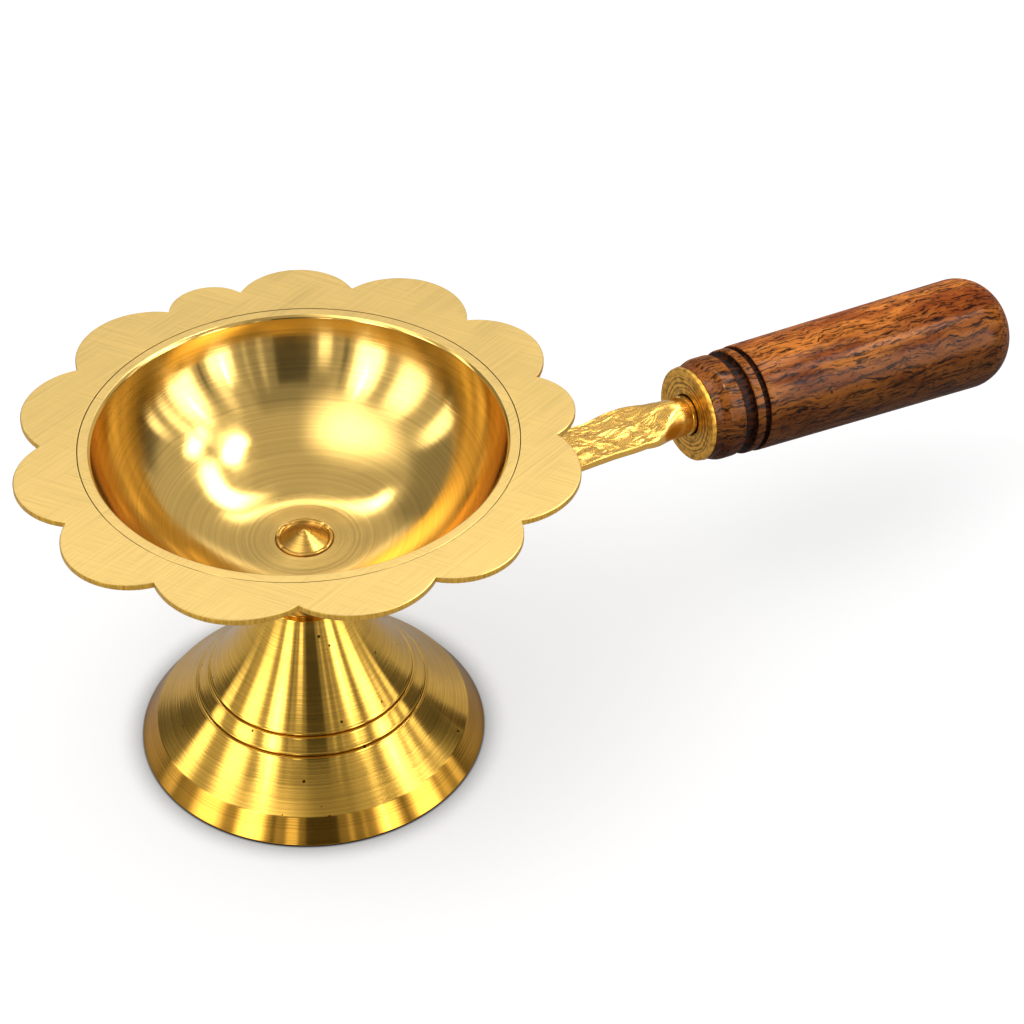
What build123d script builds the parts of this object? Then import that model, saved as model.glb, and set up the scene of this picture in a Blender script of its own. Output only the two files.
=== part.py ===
from build123d import *
import os
from math import cos, hypot, radians, sin, sqrt

# Aarti lamp: a turned brass bowl with a scalloped rim, screwed to a flared pedestal, with a flat arm
# clamped between the two and a turned wooden grip screwed on the end of the arm.
# Frame: millimetres, +Z up, origin at the centre of the foot on the ground, +X along the arm to the grip.

# Pedestal, turned from a hollow casting
PEDESTAL_H = 47.2
FOOT_R = 35.4
FOOT_BEVEL_W = 3.3
FOOT_BEVEL_H = 5.0
FOOT_EDGE = 0.4
FOOT_LAND = 4.0
FLARE_ARC_R = 85.0
NECK_R = 8.7
NECK_DROP = 11.0
NECK_STEP = 1.2
COLLAR_R = 14.0
COLLAR_H = 2.4
PEDESTAL_WALL = 2.4
SOLID_NECK_H = 25.2
SCORE_INSETS = (8.7, 11.3)
SCORE_R = 0.3

# Bowl, spun and then turned
MOUTH_R = 40.0
MOUTH_CHAMFER = 0.5
BOWL_DEPTH = 25.1
BOWL_FLOOR_R = 9.0
BOWL_FLOOR_T = 1.6
BOWL_WALL = 1.4
LIP_W = 2.4
SHOULDER_W = 1.6
SHOULDER_H = 1.6
SHOULDER_ROOT_H = 2.3

# Scalloped rim, sawn from sheet and brazed round the lip: span in degrees and depth of each petal
RIM_T = 1.3
BRAZE_GAP = 0.06
RIM_LEDGE_W = 7.15
RIM_OFF_X = 0.35
RIM_OFF_Y = 0.65
FIRST_NOTCH_DEG = -29.5
PETALS = (
    (21.9, 4.5),
    (27.5, 5.8),
    (30.5, 7.0),
    (26.6, 6.1),
    (18.2, 4.4),
    (29.9, 5.6),
    (28.9, 5.6),
    (28.0, 5.9),
    (28.8, 6.0),
    (31.9, 5.0),
    (30.2, 4.5),
    (26.2, 5.1),
    (31.5, 5.8),
)

# Clamp screw with its washer and nut
SCREW_R = 3.0
SCREW_CLEARANCE = 0.2
SCREW_TAIL = 2.0
SCREW_END_CHAMFER = 0.5
THREAD_CLEARANCE = 0.05
HEAD_R = 5.7
HEAD_SINK = 0.6
HEAD_PROUD = 0.4
HEAD_CLEARANCE = 0.1
HEAD_RING_W = 0.8
HEAD_MOAT_W = 0.25
HEAD_WEB_T = 0.55
HEAD_CONE_H = 2.1
WASHER_R = 7.0
WASHER_T = 1.2
NUT_FLATS = 10.0
NUT_H = 5.0
NUT_CHAMFER = 0.8

# Arm, a round rod hammered flat over most of its length
ARM_T = 1.8
ARM_ROOT_W = 8.4
ARM_TIP_W = 12.8
ARM_FLAT_L = 76.0
ARM_DROOP_DEG = 4.0
ROD_DROP = 0.4
ROD_R = 4.25
BLEND_L = 10.5
ROD_NECK_L = 3.3
RELIEF_FROM_FERRULE = 0.9
RELIEF_W = 0.9
RELIEF_DEPTH = 0.35
TANG_R = 3.0
TANG_L = 20.0

# Ferrule, grip and the grip's thread insert
FERRULE_R = 10.05
FERRULE_T = 0.95
FERRULE_CHAMFER = 0.25
FERRULE_CLEARANCE = 0.3
INSERT_R = 5.0
BORE_END_GAP = 4.0
GRIP_L = 80.05
NOSE_R = 10.15
NOSE_L = 1.85
BEAD_R = 11.0
BEAD_L = 5.2
BEAD_ROUND_L = 2.4
GROOVE_WIDTHS = (2.7, 1.3)
GROOVE_DEPTHS = (1.1, 0.9)
GROOVE_LAND_R = 11.3
GROOVE_LAND_L = 1.9
BARREL_FRONT_R = 11.5
BARREL_END_R = 12.3
GRIP_END_ROUND = 9.5

# Levels and radii that follow from the sizes above
NECK_Z = PEDESTAL_H - NECK_DROP
CEILING_Z = PEDESTAL_H - SOLID_NECK_H
FOOT_BEVEL_R = FOOT_R - FOOT_BEVEL_W
ARM_TOP_Z = PEDESTAL_H + ARM_T
FLOOR_Z = ARM_TOP_Z + BOWL_FLOOR_T
TOP_Z = FLOOR_Z + BOWL_DEPTH
RIM_Z = TOP_Z - RIM_T
LIP_R = MOUTH_R + LIP_W
SHOULDER_R = LIP_R + SHOULDER_W
NOTCH_R = LIP_R + RIM_LEDGE_W
SCREW_HOLE_R = SCREW_R + SCREW_CLEARANCE
HEAD_SEAT_Z = FLOOR_Z - HEAD_SINK
WASHER_Z = CEILING_Z - WASHER_T
NUT_Z = WASHER_Z - NUT_H
TANG_HOLE_R = TANG_R + THREAD_CLEARANCE

# Arm and grip axis: it leaves the flat a little below its middle height and droops outwards.
# Along it, lengths are counted from the front face of the ferrule.
FERRULE_REACH = BLEND_L + ROD_NECK_L
DROOP = radians(ARM_DROOP_DEG)
AXIS_DIR = Vector(cos(DROOP), 0, -sin(DROOP))
FLAT_END = Vector(ARM_FLAT_L, 0, PEDESTAL_H + ARM_T / 2)
FERRULE_FRONT = FLAT_END - Vector(0, 0, ROD_DROP) + AXIS_DIR * FERRULE_REACH
HANDLE = Plane(origin=FERRULE_FRONT, x_dir=(0, 1, 0), z_dir=AXIS_DIR)


def turned(edges):
    """Solid of revolution about Z: the edges close a half profile given as (radius, height)."""
    return revolve(Plane.XZ * make_face(edges), Axis.Z)


def profile(*points):
    """Solid of revolution about Z of a half profile with straight sides."""
    return turned(Polyline(*points, close=True).edges())


def arc_centre(start, end, radius):
    """Centre of the arc from start to end that lies on the right of that direction."""
    run = (end[0] - start[0], end[1] - start[1])
    chord = hypot(*run)
    away = sqrt(radius**2 - (chord / 2) ** 2) / chord
    middle = ((start[0] + end[0]) / 2, (start[1] + end[1]) / 2)
    return middle[0] + away * run[1], middle[1] - away * run[0]


FLARE_START = (FOOT_BEVEL_R, FOOT_BEVEL_H)
FLARE_END = (NECK_R, NECK_Z)
FLARE_CENTRE = arc_centre(FLARE_START, FLARE_END, FLARE_ARC_R)


def flare_radius(z, inwards=0.0):
    """Radius of the concave flare at height z, or of its copy set inwards by a wall."""
    return FLARE_CENTRE[0] - sqrt((FLARE_ARC_R + inwards) ** 2 - (FLARE_CENTRE[1] - z) ** 2)


def flare_height(r, inwards=0.0):
    """Height of the concave flare at radius r, or of its copy set inwards by a wall."""
    return FLARE_CENTRE[1] - sqrt((FLARE_ARC_R + inwards) ** 2 - (FLARE_CENTRE[0] - r) ** 2)


def make_pedestal():
    """Bevelled foot, concave flare with two scored lines, neck, cove and collar, hollow below."""
    cove_start = (NECK_R - NECK_STEP, NECK_Z)
    cove_end = (COLLAR_R, PEDESTAL_H - COLLAR_H)
    foot = Polyline((0, 0), (FOOT_R - FOOT_EDGE, 0), (FOOT_R, FOOT_EDGE), FLARE_START)
    flare = RadiusArc(FLARE_START, FLARE_END, FLARE_ARC_R)
    cove = TangentArc(cove_start, cove_end, tangent=(0, 1))
    collar = Polyline(cove_end, (COLLAR_R, PEDESTAL_H), (0, PEDESTAL_H), (0, 0))
    outer = turned(foot.edges() + [flare, Line(FLARE_END, cove_start), cove] + collar.edges())

    land_r = FOOT_R - FOOT_LAND
    wall_start = (land_r, flare_height(land_r, PEDESTAL_WALL))
    wall_end = (flare_radius(CEILING_Z, PEDESTAL_WALL), CEILING_Z)
    mouth = Polyline((0, 0), (land_r, 0), wall_start)
    wall = RadiusArc(wall_start, wall_end, FLARE_ARC_R + PEDESTAL_WALL)
    ceiling = Polyline(wall_end, (0, CEILING_Z), (0, 0))
    hollow = turned(mouth.edges() + [wall] + ceiling.edges())

    body = outer - hollow
    body -= Pos(0, 0, CEILING_Z) * extrude(Circle(SCREW_HOLE_R), SOLID_NECK_H)
    for inset in SCORE_INSETS:
        score_r = FOOT_BEVEL_R - inset
        ring = Plane.XZ * Pos(score_r, flare_height(score_r)) * Circle(SCORE_R)
        body -= revolve(ring, Axis.Z)
    return body


def make_bowl():
    """Cup with a flat floor, a pad that sits on the arm, a counterbore, a lip and a shoulder for the rim."""
    mouth_z = TOP_Z - MOUTH_CHAMFER
    rise, run = mouth_z - FLOOR_Z, MOUTH_R - BOWL_FLOOR_R
    inner_r = (run**2 + rise**2) / (2 * rise)
    outer_r = inner_r + BOWL_WALL
    centre_z = FLOOR_Z + inner_r
    root_z = RIM_Z - SHOULDER_H - SHOULDER_ROOT_H
    pad_edge = (COLLAR_R, centre_z - sqrt(outer_r**2 - (COLLAR_R - BOWL_FLOOR_R) ** 2))
    root = (BOWL_FLOOR_R + sqrt(outer_r**2 - (centre_z - root_z) ** 2), root_z)
    pad = Polyline((SCREW_HOLE_R, ARM_TOP_Z), (COLLAR_R, ARM_TOP_Z), pad_edge)
    outside = RadiusArc(pad_edge, root, -outer_r)
    lip = Polyline(
        root,
        (SHOULDER_R, RIM_Z - SHOULDER_H),
        (SHOULDER_R, RIM_Z),
        (LIP_R, RIM_Z),
        (LIP_R, TOP_Z),
        (MOUTH_R + MOUTH_CHAMFER, TOP_Z),
        (MOUTH_R, mouth_z),
    )
    inside = RadiusArc((MOUTH_R, mouth_z), (BOWL_FLOOR_R, FLOOR_Z), inner_r)
    sink_r = HEAD_R + HEAD_CLEARANCE
    floor = Polyline(
        (BOWL_FLOOR_R, FLOOR_Z),
        (sink_r, FLOOR_Z),
        (sink_r, HEAD_SEAT_Z),
        (SCREW_HOLE_R, HEAD_SEAT_Z),
        (SCREW_HOLE_R, ARM_TOP_Z),
    )
    return turned(pad.edges() + [outside] + lip.edges() + [inside] + floor.edges())


def on_circle(radius, degrees):
    return radius * cos(radians(degrees)), radius * sin(radians(degrees))


def make_scalloped_rim():
    """Flat plate round the lip: each petal is one arc from notch to notch through its tip.

    The sawn outline sits a little off the axis of the bowl.
    """
    turn = 360 / sum(span for span, _ in PETALS)
    angle = FIRST_NOTCH_DEG
    petals = []
    for span, depth in PETALS:
        tip = on_circle(NOTCH_R + depth, angle + span * turn / 2)
        end = on_circle(NOTCH_R, angle + span * turn)
        petals.append(ThreePointArc(on_circle(NOTCH_R, angle), tip, end))
        angle += span * turn
    plate = Pos(RIM_OFF_X, RIM_OFF_Y) * make_face(petals) - Circle(LIP_R + BRAZE_GAP)
    return Pos(0, 0, RIM_Z) * extrude(plate, RIM_T)


def make_clamp_screw():
    """Screw through bowl, arm and pedestal: its head is a low cone inside a raised ring."""
    tail_z = NUT_Z - SCREW_TAIL
    ring_z = FLOOR_Z + HEAD_PROUD
    moat_z = HEAD_SEAT_Z + HEAD_WEB_T
    cone_r = HEAD_R - HEAD_RING_W - HEAD_MOAT_W
    return profile(
        (0, tail_z),
        (SCREW_R - SCREW_END_CHAMFER, tail_z),
        (SCREW_R, tail_z + SCREW_END_CHAMFER),
        (SCREW_R, HEAD_SEAT_Z),
        (HEAD_R, HEAD_SEAT_Z),
        (HEAD_R, ring_z),
        (HEAD_R - HEAD_RING_W, ring_z),
        (cone_r, moat_z),
        (0, FLOOR_Z + HEAD_CONE_H),
    )


def make_clamp_washer():
    """Plain washer under the hollow's ceiling."""
    ring = Circle(WASHER_R) - Circle(SCREW_HOLE_R)
    return Pos(0, 0, WASHER_Z) * extrude(ring, WASHER_T)


def make_clamp_nut():
    """Hexagon nut with the corners of its free face turned down."""
    hexagon = RegularPolygon(NUT_FLATS / 2, 6, major_radius=False) - Circle(SCREW_R + THREAD_CLEARANCE)
    corner_r = NUT_FLATS / 2 / cos(radians(30))
    barrel = profile(
        (0, 0),
        (corner_r - NUT_CHAMFER, 0),
        (corner_r, NUT_CHAMFER * sin(radians(30))),
        (corner_r, NUT_H),
        (0, NUT_H),
    )
    return Pos(0, 0, NUT_Z) * (extrude(hexagon, NUT_H) & barrel)


def make_handle_arm():
    """Round eye on the collar, flat strap, blend to a round neck with a relief groove, threaded tang."""
    strap = Polygon(
        (0, -ARM_ROOT_W / 2),
        (ARM_FLAT_L, -ARM_TIP_W / 2),
        (ARM_FLAT_L, ARM_TIP_W / 2),
        (0, ARM_ROOT_W / 2),
        align=None,
    )
    flat = Pos(0, 0, PEDESTAL_H) * extrude(Circle(COLLAR_R) + strap - Circle(SCREW_HOLE_R), ARM_T)

    flat_end = Plane(origin=FLAT_END, x_dir=(0, 1, 0), z_dir=(1, 0, 0))
    round_start = HANDLE.offset(-ROD_NECK_L)
    corner = ROD_R / sqrt(2)
    corners = ((corner, corner), (-corner, corner), (-corner, -corner), (corner, -corner))
    middles = ((0, ROD_R), (-ROD_R, 0), (0, -ROD_R), (ROD_R, 0))
    sides = [ThreePointArc(corners[i], middles[i], corners[(i + 1) % 4]) for i in range(4)]
    blend = loft([flat_end * Rectangle(ARM_TIP_W, ARM_T), round_start * make_face(sides)])

    relief_end = -RELIEF_FROM_FERRULE
    relief_r = ROD_R - RELIEF_DEPTH
    rod = profile(
        (0, -ROD_NECK_L),
        (ROD_R, -ROD_NECK_L),
        (ROD_R, relief_end - RELIEF_W),
        (relief_r, relief_end - RELIEF_W),
        (relief_r, relief_end),
        (ROD_R, relief_end),
        (ROD_R, FERRULE_T),
        (TANG_R, FERRULE_T),
        (TANG_R, FERRULE_T + TANG_L - SCREW_END_CHAMFER),
        (TANG_R - SCREW_END_CHAMFER, FERRULE_T + TANG_L),
        (0, FERRULE_T + TANG_L),
    )
    return flat + blend + HANDLE * rod


def make_ferrule():
    """Brass disc over the end grain, with a clear hole for the neck of the arm."""
    hole_r = ROD_R + FERRULE_CLEARANCE
    return HANDLE * profile(
        (hole_r, 0),
        (FERRULE_R - FERRULE_CHAMFER, 0),
        (FERRULE_R, FERRULE_CHAMFER),
        (FERRULE_R, FERRULE_T),
        (hole_r, FERRULE_T),
    )


def make_thread_insert():
    """Threaded sleeve pressed into the grip: the shoulder of the arm's neck stops on its front face."""
    ring = Circle(INSERT_R) - Circle(TANG_HOLE_R)
    return HANDLE * Pos(0, 0, FERRULE_T) * extrude(ring, TANG_L)


def make_grip():
    """Turned wooden grip: nose, rounded bead, two grooves, swelling barrel, round end and a stepped bore."""
    front = FERRULE_T
    end = front + GRIP_L
    bead_start = front + NOSE_L
    bead_end = bead_start + BEAD_L
    round_end = bead_start + BEAD_ROUND_L
    land_start = bead_end + GROOVE_WIDTHS[0]
    land_end = land_start + GROOVE_LAND_L
    barrel_start = land_end + GROOVE_WIDTHS[1]
    insert_end = front + TANG_L
    bead = TangentArc((BEAD_R, round_end), (NOSE_R, bead_start), tangent=(0, -1))
    turning = Polyline(
        (BEAD_R, round_end),
        (BEAD_R, bead_end),
        (BEAD_R - GROOVE_DEPTHS[0], bead_end),
        (BEAD_R - GROOVE_DEPTHS[0], land_start),
        (GROOVE_LAND_R, land_start),
        (GROOVE_LAND_R, land_end),
        (GROOVE_LAND_R - GROOVE_DEPTHS[1], land_end),
        (GROOVE_LAND_R - GROOVE_DEPTHS[1], barrel_start),
        (BARREL_FRONT_R, barrel_start),
        (BARREL_END_R, end - GRIP_END_ROUND),
    )
    dome_r = BARREL_END_R - GRIP_END_ROUND
    dome = TangentArc((dome_r, end), (BARREL_END_R, end - GRIP_END_ROUND), tangent=(1, 0))
    bore = Polyline(
        (dome_r, end),
        (0, end),
        (0, insert_end + BORE_END_GAP),
        (TANG_HOLE_R, insert_end + BORE_END_GAP),
        (TANG_HOLE_R, insert_end),
        (INSERT_R, insert_end),
        (INSERT_R, front),
        (NOSE_R, front),
        (NOSE_R, bead_start),
    )
    return HANDLE * turned([bead] + turning.edges() + [dome] + bore.edges())


NODES = {
    "pedestal": make_pedestal,
    "bowl": make_bowl,
    "scalloped_rim": make_scalloped_rim,
    "clamp_screw": make_clamp_screw,
    "clamp_washer": make_clamp_washer,
    "clamp_nut": make_clamp_nut,
    "handle_arm": make_handle_arm,
    "ferrule": make_ferrule,
    "thread_insert": make_thread_insert,
    "grip": make_grip,
}

os.makedirs("parts", exist_ok=True)
for node, make in NODES.items():
    export_step(make(), os.path.join("parts", node + ".step"))
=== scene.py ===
"""Looks of the aarti lamp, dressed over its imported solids.

A turned brass pedestal carries a spun bowl with a sawn, scalloped rim. A hammered arm leads to a lacquered
rosewood grip. Lengths in the formulas are millimetres in the lamp's frame: +Z up from the ground at the centre
of the foot, +X along the arm. They become metres where a mesh is made.
"""

import math

import bmesh
import bpy
import numpy as np
from bpy.props import FloatProperty, FloatVectorProperty, PointerProperty
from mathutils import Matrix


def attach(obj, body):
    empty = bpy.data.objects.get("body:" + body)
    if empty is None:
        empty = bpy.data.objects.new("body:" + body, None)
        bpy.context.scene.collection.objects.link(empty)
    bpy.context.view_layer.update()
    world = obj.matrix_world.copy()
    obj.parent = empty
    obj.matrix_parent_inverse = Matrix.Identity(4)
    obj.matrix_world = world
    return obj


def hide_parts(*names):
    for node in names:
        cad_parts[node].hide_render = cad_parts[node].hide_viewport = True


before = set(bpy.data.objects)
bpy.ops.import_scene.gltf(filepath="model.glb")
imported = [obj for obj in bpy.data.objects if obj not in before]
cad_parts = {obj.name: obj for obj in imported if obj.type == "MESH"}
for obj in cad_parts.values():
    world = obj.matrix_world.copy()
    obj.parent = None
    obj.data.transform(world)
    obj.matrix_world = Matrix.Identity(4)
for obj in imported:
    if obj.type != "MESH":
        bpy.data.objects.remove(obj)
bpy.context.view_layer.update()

bl_info = {
    "name": "Aarti lamp",
    "version": (1, 0, 0),
    "blender": (4, 5, 0),
    "location": "3D View > Sidebar > Aarti lamp",
    "description": "Builds the brass and rosewood skins of an aarti lamp and its studio",
    "category": "Object",
}

MM = 0.001
TURN = 2 * math.pi

# Sizes that the solids have too, in millimetres
FOOT_R, FOOT_EDGE, FOOT_INNER_R = 35.4, 0.4, 31.4
FLARE_START, FLARE_END, FLARE_ARC_R = (32.1, 5.0), (8.7, 36.2), 85.0
SCORE_RADII, SCORE_W = (23.4, 20.8), 0.3
PEDESTAL_H, PEDESTAL_WALL, CEILING_Z = 47.2, 2.4, 22.0
COVE_START, COLLAR_R, COLLAR_Z = (7.5, 36.2), 14.0, 44.8
SCREW_HOLE_R = 3.2
ARM_TOP_Z, HEAD_SEAT_Z, FLOOR_Z = 49.0, 50.0, 50.6
RIM_Z, TOP_Z = 74.4, 75.7
MOUTH_R, MOUTH_CHAMFER, BOWL_FLOOR_R, BOWL_WALL = 40.0, 0.5, 9.0, 1.4
LIP_R, SHOULDER_R, SHOULDER_Z, ROOT_Z = 42.4, 44.0, 72.8, 70.5
HEAD_R, HEAD_SINK_R, HEAD_RING_R, HEAD_CONE_R = 5.7, 5.8, 4.9, 4.65
HEAD_RING_Z, HEAD_MOAT_Z, HEAD_APEX_Z = 51.0, 50.55, 52.7
SCREW_R, SCREW_TAIL_Z, THREAD_TOP_Z, SCREW_CHAMFER = 3.0, 13.8, 24.0, 0.5
WASHER_R, WASHER_Z, WASHER_T = 7.0, 20.8, 1.2
NUT_FLATS, NUT_Z, NUT_H, NUT_CHAMFER = 10.0, 15.8, 5.0, 0.8
RIM_INNER_R, NOTCH_R, RIM_CENTRE, FIRST_NOTCH = 42.46, 49.55, (0.35, 0.65), -29.5
PETAL_SPANS = (21.9, 27.5, 30.5, 26.6, 18.2, 29.9, 28.9, 28.0, 28.8, 31.9, 30.2, 26.2, 31.5)
PETAL_DEPTHS = (4.5, 5.8, 7.0, 6.1, 4.4, 5.6, 5.6, 5.9, 6.0, 5.0, 4.5, 5.1, 5.8)
ARM_EYE_R, ARM_HALF_T, ARM_ROOT_W, ARM_TIP_W, ARM_FLAT_L = 14.0, 0.9, 8.4, 12.8, 76.0
ROD_R, ROD_NECK_L, RELIEF_START, RELIEF_END, RELIEF_R = 4.25, 3.3, -1.8, -0.9, 3.9
TANG_R, TANG_HOLE_R, TANG_END = 3.0, 3.05, 20.95
FERRULE_R, FERRULE_HOLE_R, FERRULE_T, FERRULE_CHAMFER = 10.05, 4.55, 0.95, 0.25
INSERT_R, BORE_END, GRIP_END = 5.0, 24.95, 81.0
NOSE_R, NOSE_END, BEAD_R, BEAD_ROUND, BEAD_END = 10.15, 2.8, 11.0, 5.2, 8.0
GROOVE_1_R, GROOVE_1_END, LAND_R, LAND_END, GROOVE_2_R = 9.9, 10.7, 11.3, 12.6, 10.4
BARREL_START, BARREL_FRONT_R, BARREL_END_R, BARREL_END, DOME_R = 13.9, 11.5, 12.3, 71.5, 9.5

# Threads: depth as a share of the pitch, inner ones as a share of outer ones, and points in a pitch
THREAD_DEPTH, INNER_THREAD, THREAD_STEPS = 0.55, 0.6, 8
# Scored lines: share of their depth, distance and width of the burr beside them, and depth below which they tarnish
BURR_SHARE, BURR_AWAY, BURR_W, TARNISH_DEPTH = 0.14, 0.45, 0.12, 0.19
# How blunt the tip of the screw's cone is, as a squared share of its radius
CONE_BLUNT = 0.02
# Rounding of the arm's edges at the eye, and what wear adds to it on the strap
ARM_EDGE, ARM_WORN_EDGE = 0.1, 0.25
# Along the arm: where brown scale starts to thin out, where it has, and where the turned neck has no wrinkles left
SCALE_FULL, SCALE_THIN, NECK_SMOOTH = 52, 74, 84
# Counts of the nicks in the screw's ring and of the hammer marks
NICKS, HAMMER_MARKS = 11, 340

# Faces round the axis of each turned piece and along a petal, and points along and across the arm
PEDESTAL_STEPS, BOWL_STEPS, PETAL_STEPS, WASHER_STEPS, NUT_STEPS = 240, 256, 30, 128, 144
SCREW_STEPS, HANDLE_STEPS, SLEEVE_STEPS = 160, 160, 96
EYE_ROWS, STRAP_ROWS, BLEND_ROWS = 18, 126, 26
TOP_COLUMNS, EDGE_COLUMNS, SIDE_COLUMNS = 16, 9, 4

# The handle's own axes: across, up, and along the grip from the front face of the ferrule
DROOP = math.radians(4.0)
HANDLE_ORIGIN = np.array([89.76638, 0.0, 46.73736])
HANDLE_AXES = np.array(
    [[0.0, 1.0, 0.0], [math.sin(DROOP), 0.0, math.cos(DROOP)], [math.cos(DROOP), 0.0, -math.sin(DROOP)]]
)

# The photograph's viewpoint, in millimetres and degrees
CAMERA_PLACE = (-193.088, -408.297, 428.75)
CAMERA_TURN = (50.4682, -0.2798, -30.2711)

# Half of the floor's side in metres, and the shares of its colour that matt surfaces get, and that the metal and the
# camera get on top
FLOOR_HALF, FLOOR_MATT, FLOOR_METAL, FLOOR_CAMERA = 4, 0.2, 0.45, 0.4
# Reach in millimetres and power of the painted contact shadow between the floor and the foot
CONTACT_SHADOW_REACH, CONTACT_SHADOW_POWER = 6, 2.7
# Shares of the daylight on matt surfaces from the sides and from above
SIDE_LIGHT, TOP_LIGHT = 0.1, 1.6

# Points along and up each card of the studio, and the middle of their sphere in metres
CARD_COLUMNS, CARD_ROWS, CARD_MIDDLE = 61, 31, (0.03, 0, 0.03)
# Most that a card gives in the metal's second reflection, and in what the metal throws at the floor
CARD_AGAIN, CARD_THROWN = 1.4, 0.08

# Studio round the lamp: azimuth from and to, elevation from and to, in degrees, brightness, distance in metres and
# shares of the card that fade at the sides and at the ends
SOFTBOXES = {
    "softbox_left": (118, 244, 38, 88, 3.6, 0.9, 0.45, 0.45),
}
REFLECTORS = {
    "strip_front_right": (-84, -65, -14, 38, 4.2, 0.9, 0.3, 0.45),
    "strip_front_right_high": (-75, -66, 24, 56, 1.6, 0.9, 0.4, 0.45),
    "strip_right": (-60, -37, -10, 50, 4.6, 0.9, 0.3, 0.4),
    "strip_right_tall": (-37, -29, 0, 64, 2.6, 0.9, 0.35, 0.4),
    "strip_right_over": (-58, -4, 60, 70, 28.0, 0.9, 0.4, 0.4),
    "strip_right_low": (-27, -17, -6, 36, 2.2, 0.9, 0.4, 0.45),
    "strip_left": (-169, -148, -10, 52, 4.8, 0.9, 0.3, 0.4),
    "strip_left_narrow": (-138, -129, -16, 36, 2.2, 0.9, 0.25, 0.45),
    "strip_far_left": (162, 187, -6, 50, 4.0, 0.9, 0.35, 0.4),
    "strip_back_left": (138, 153, -4, 44, 3.2, 0.9, 0.35, 0.4),
    "strip_thin_front": (-100, -96, -10, 50, 0.9, 0.9, 0.3, 0.4),
    "strip_thin_right": (-91, -88, -10, 50, 0.8, 0.9, 0.3, 0.4),
    "strip_back_low": (32, 100, 27, 34, 1.6, 0.9, 0.4, 0.4),
    "strip_top_right": (-46, -10, 39, 51, 9.0, 0.9, 0.35, 0.35),
    "strip_top": (-22, 62, 50, 61, 9.0, 0.9, 0.3, 0.3),
    "strip_top_middle": (36, 94, 46.5, 50, 6.5, 0.9, 0.35, 0.4),
    "strip_top_back": (70, 112, 46, 53, 7.0, 0.9, 0.4, 0.4),
    "core_front_right": (-78, -74, 4, 36, 9.0, 0.88, 0.45, 0.45),
    "core_right": (-51, -46, 16, 52, 9.0, 0.88, 0.45, 0.45),
    "core_left": (-161, -156, 14, 50, 9.0, 0.88, 0.45, 0.45),
    "flag_front": (-126, -105, -6, 44, 0.08, 0.95, 0.05, 0.15),
    "flag_thin_left": (-147, -143, -10, 50, 0.2, 0.92, 0.3, 0.4),
    "flag_thin_right": (-64, -61, -10, 50, 0.2, 0.92, 0.3, 0.4),
    "flag_front_wide": (-144, -82, -6, 62, 0.34, 1.0, 0.15, 0.15),
    "flag_right": (-30, 8, -6, 28, 0.12, 0.95, 0.25, 0.25),
    "flag_back_low": (90, 160, -4, 16, 0.12, 0.95, 0.2, 0.2),
    "flag_back": (86, 152, 12, 47, 0.3, 1.0, 0.2, 0.2),
    "tent": (-180, 180, 0, 89.9, 0.6, 1.1, 0, 0),
}


def linear(code):
    """Linear red, green and blue of an sRGB hex value."""
    s = np.array([int(code[i : i + 2], 16) for i in (1, 3, 5)]) / 255
    return tuple(np.where(s <= 0.04045, s / 12.92, ((s + 0.055) / 1.055) ** 2.4).tolist())


class LampSizes(bpy.types.PropertyGroup):
    """Sizes of the finish, which the solids leave out.

    The real tool lines, brush marks and fibres are finer. They are drawn as coarse as they need to show.
    """

    edge_round: FloatProperty(
        name="Edge rounding", description="Width that polishing took off brass edges", default=0.2 * MM, unit="LENGTH"
    )
    score_depth: FloatProperty(
        name="Score depth", description="Depth of the two lines scored on the flare", default=0.28 * MM, unit="LENGTH"
    )
    lathe_line: FloatProperty(
        name="Lathe line", description="Spacing of the tool's lines on turned brass", default=0.42 * MM, unit="LENGTH"
    )
    brush_mark: FloatProperty(
        name="Brush mark", description="Width of a brush mark on the rim", default=0.3 * MM, unit="LENGTH"
    )
    hammer_depth: FloatProperty(
        name="Hammer depth", description="Depth of the hammer marks on the arm", default=0.2 * MM, unit="LENGTH"
    )
    thread_pitch: FloatProperty(
        name="Thread pitch", description="Pitch of the screw's and the tang's threads", default=1.0 * MM, unit="LENGTH"
    )
    grain_width: FloatProperty(
        name="Grain width", description="Width of a streak of the wood's grain", default=1.0 * MM, unit="LENGTH"
    )


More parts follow.
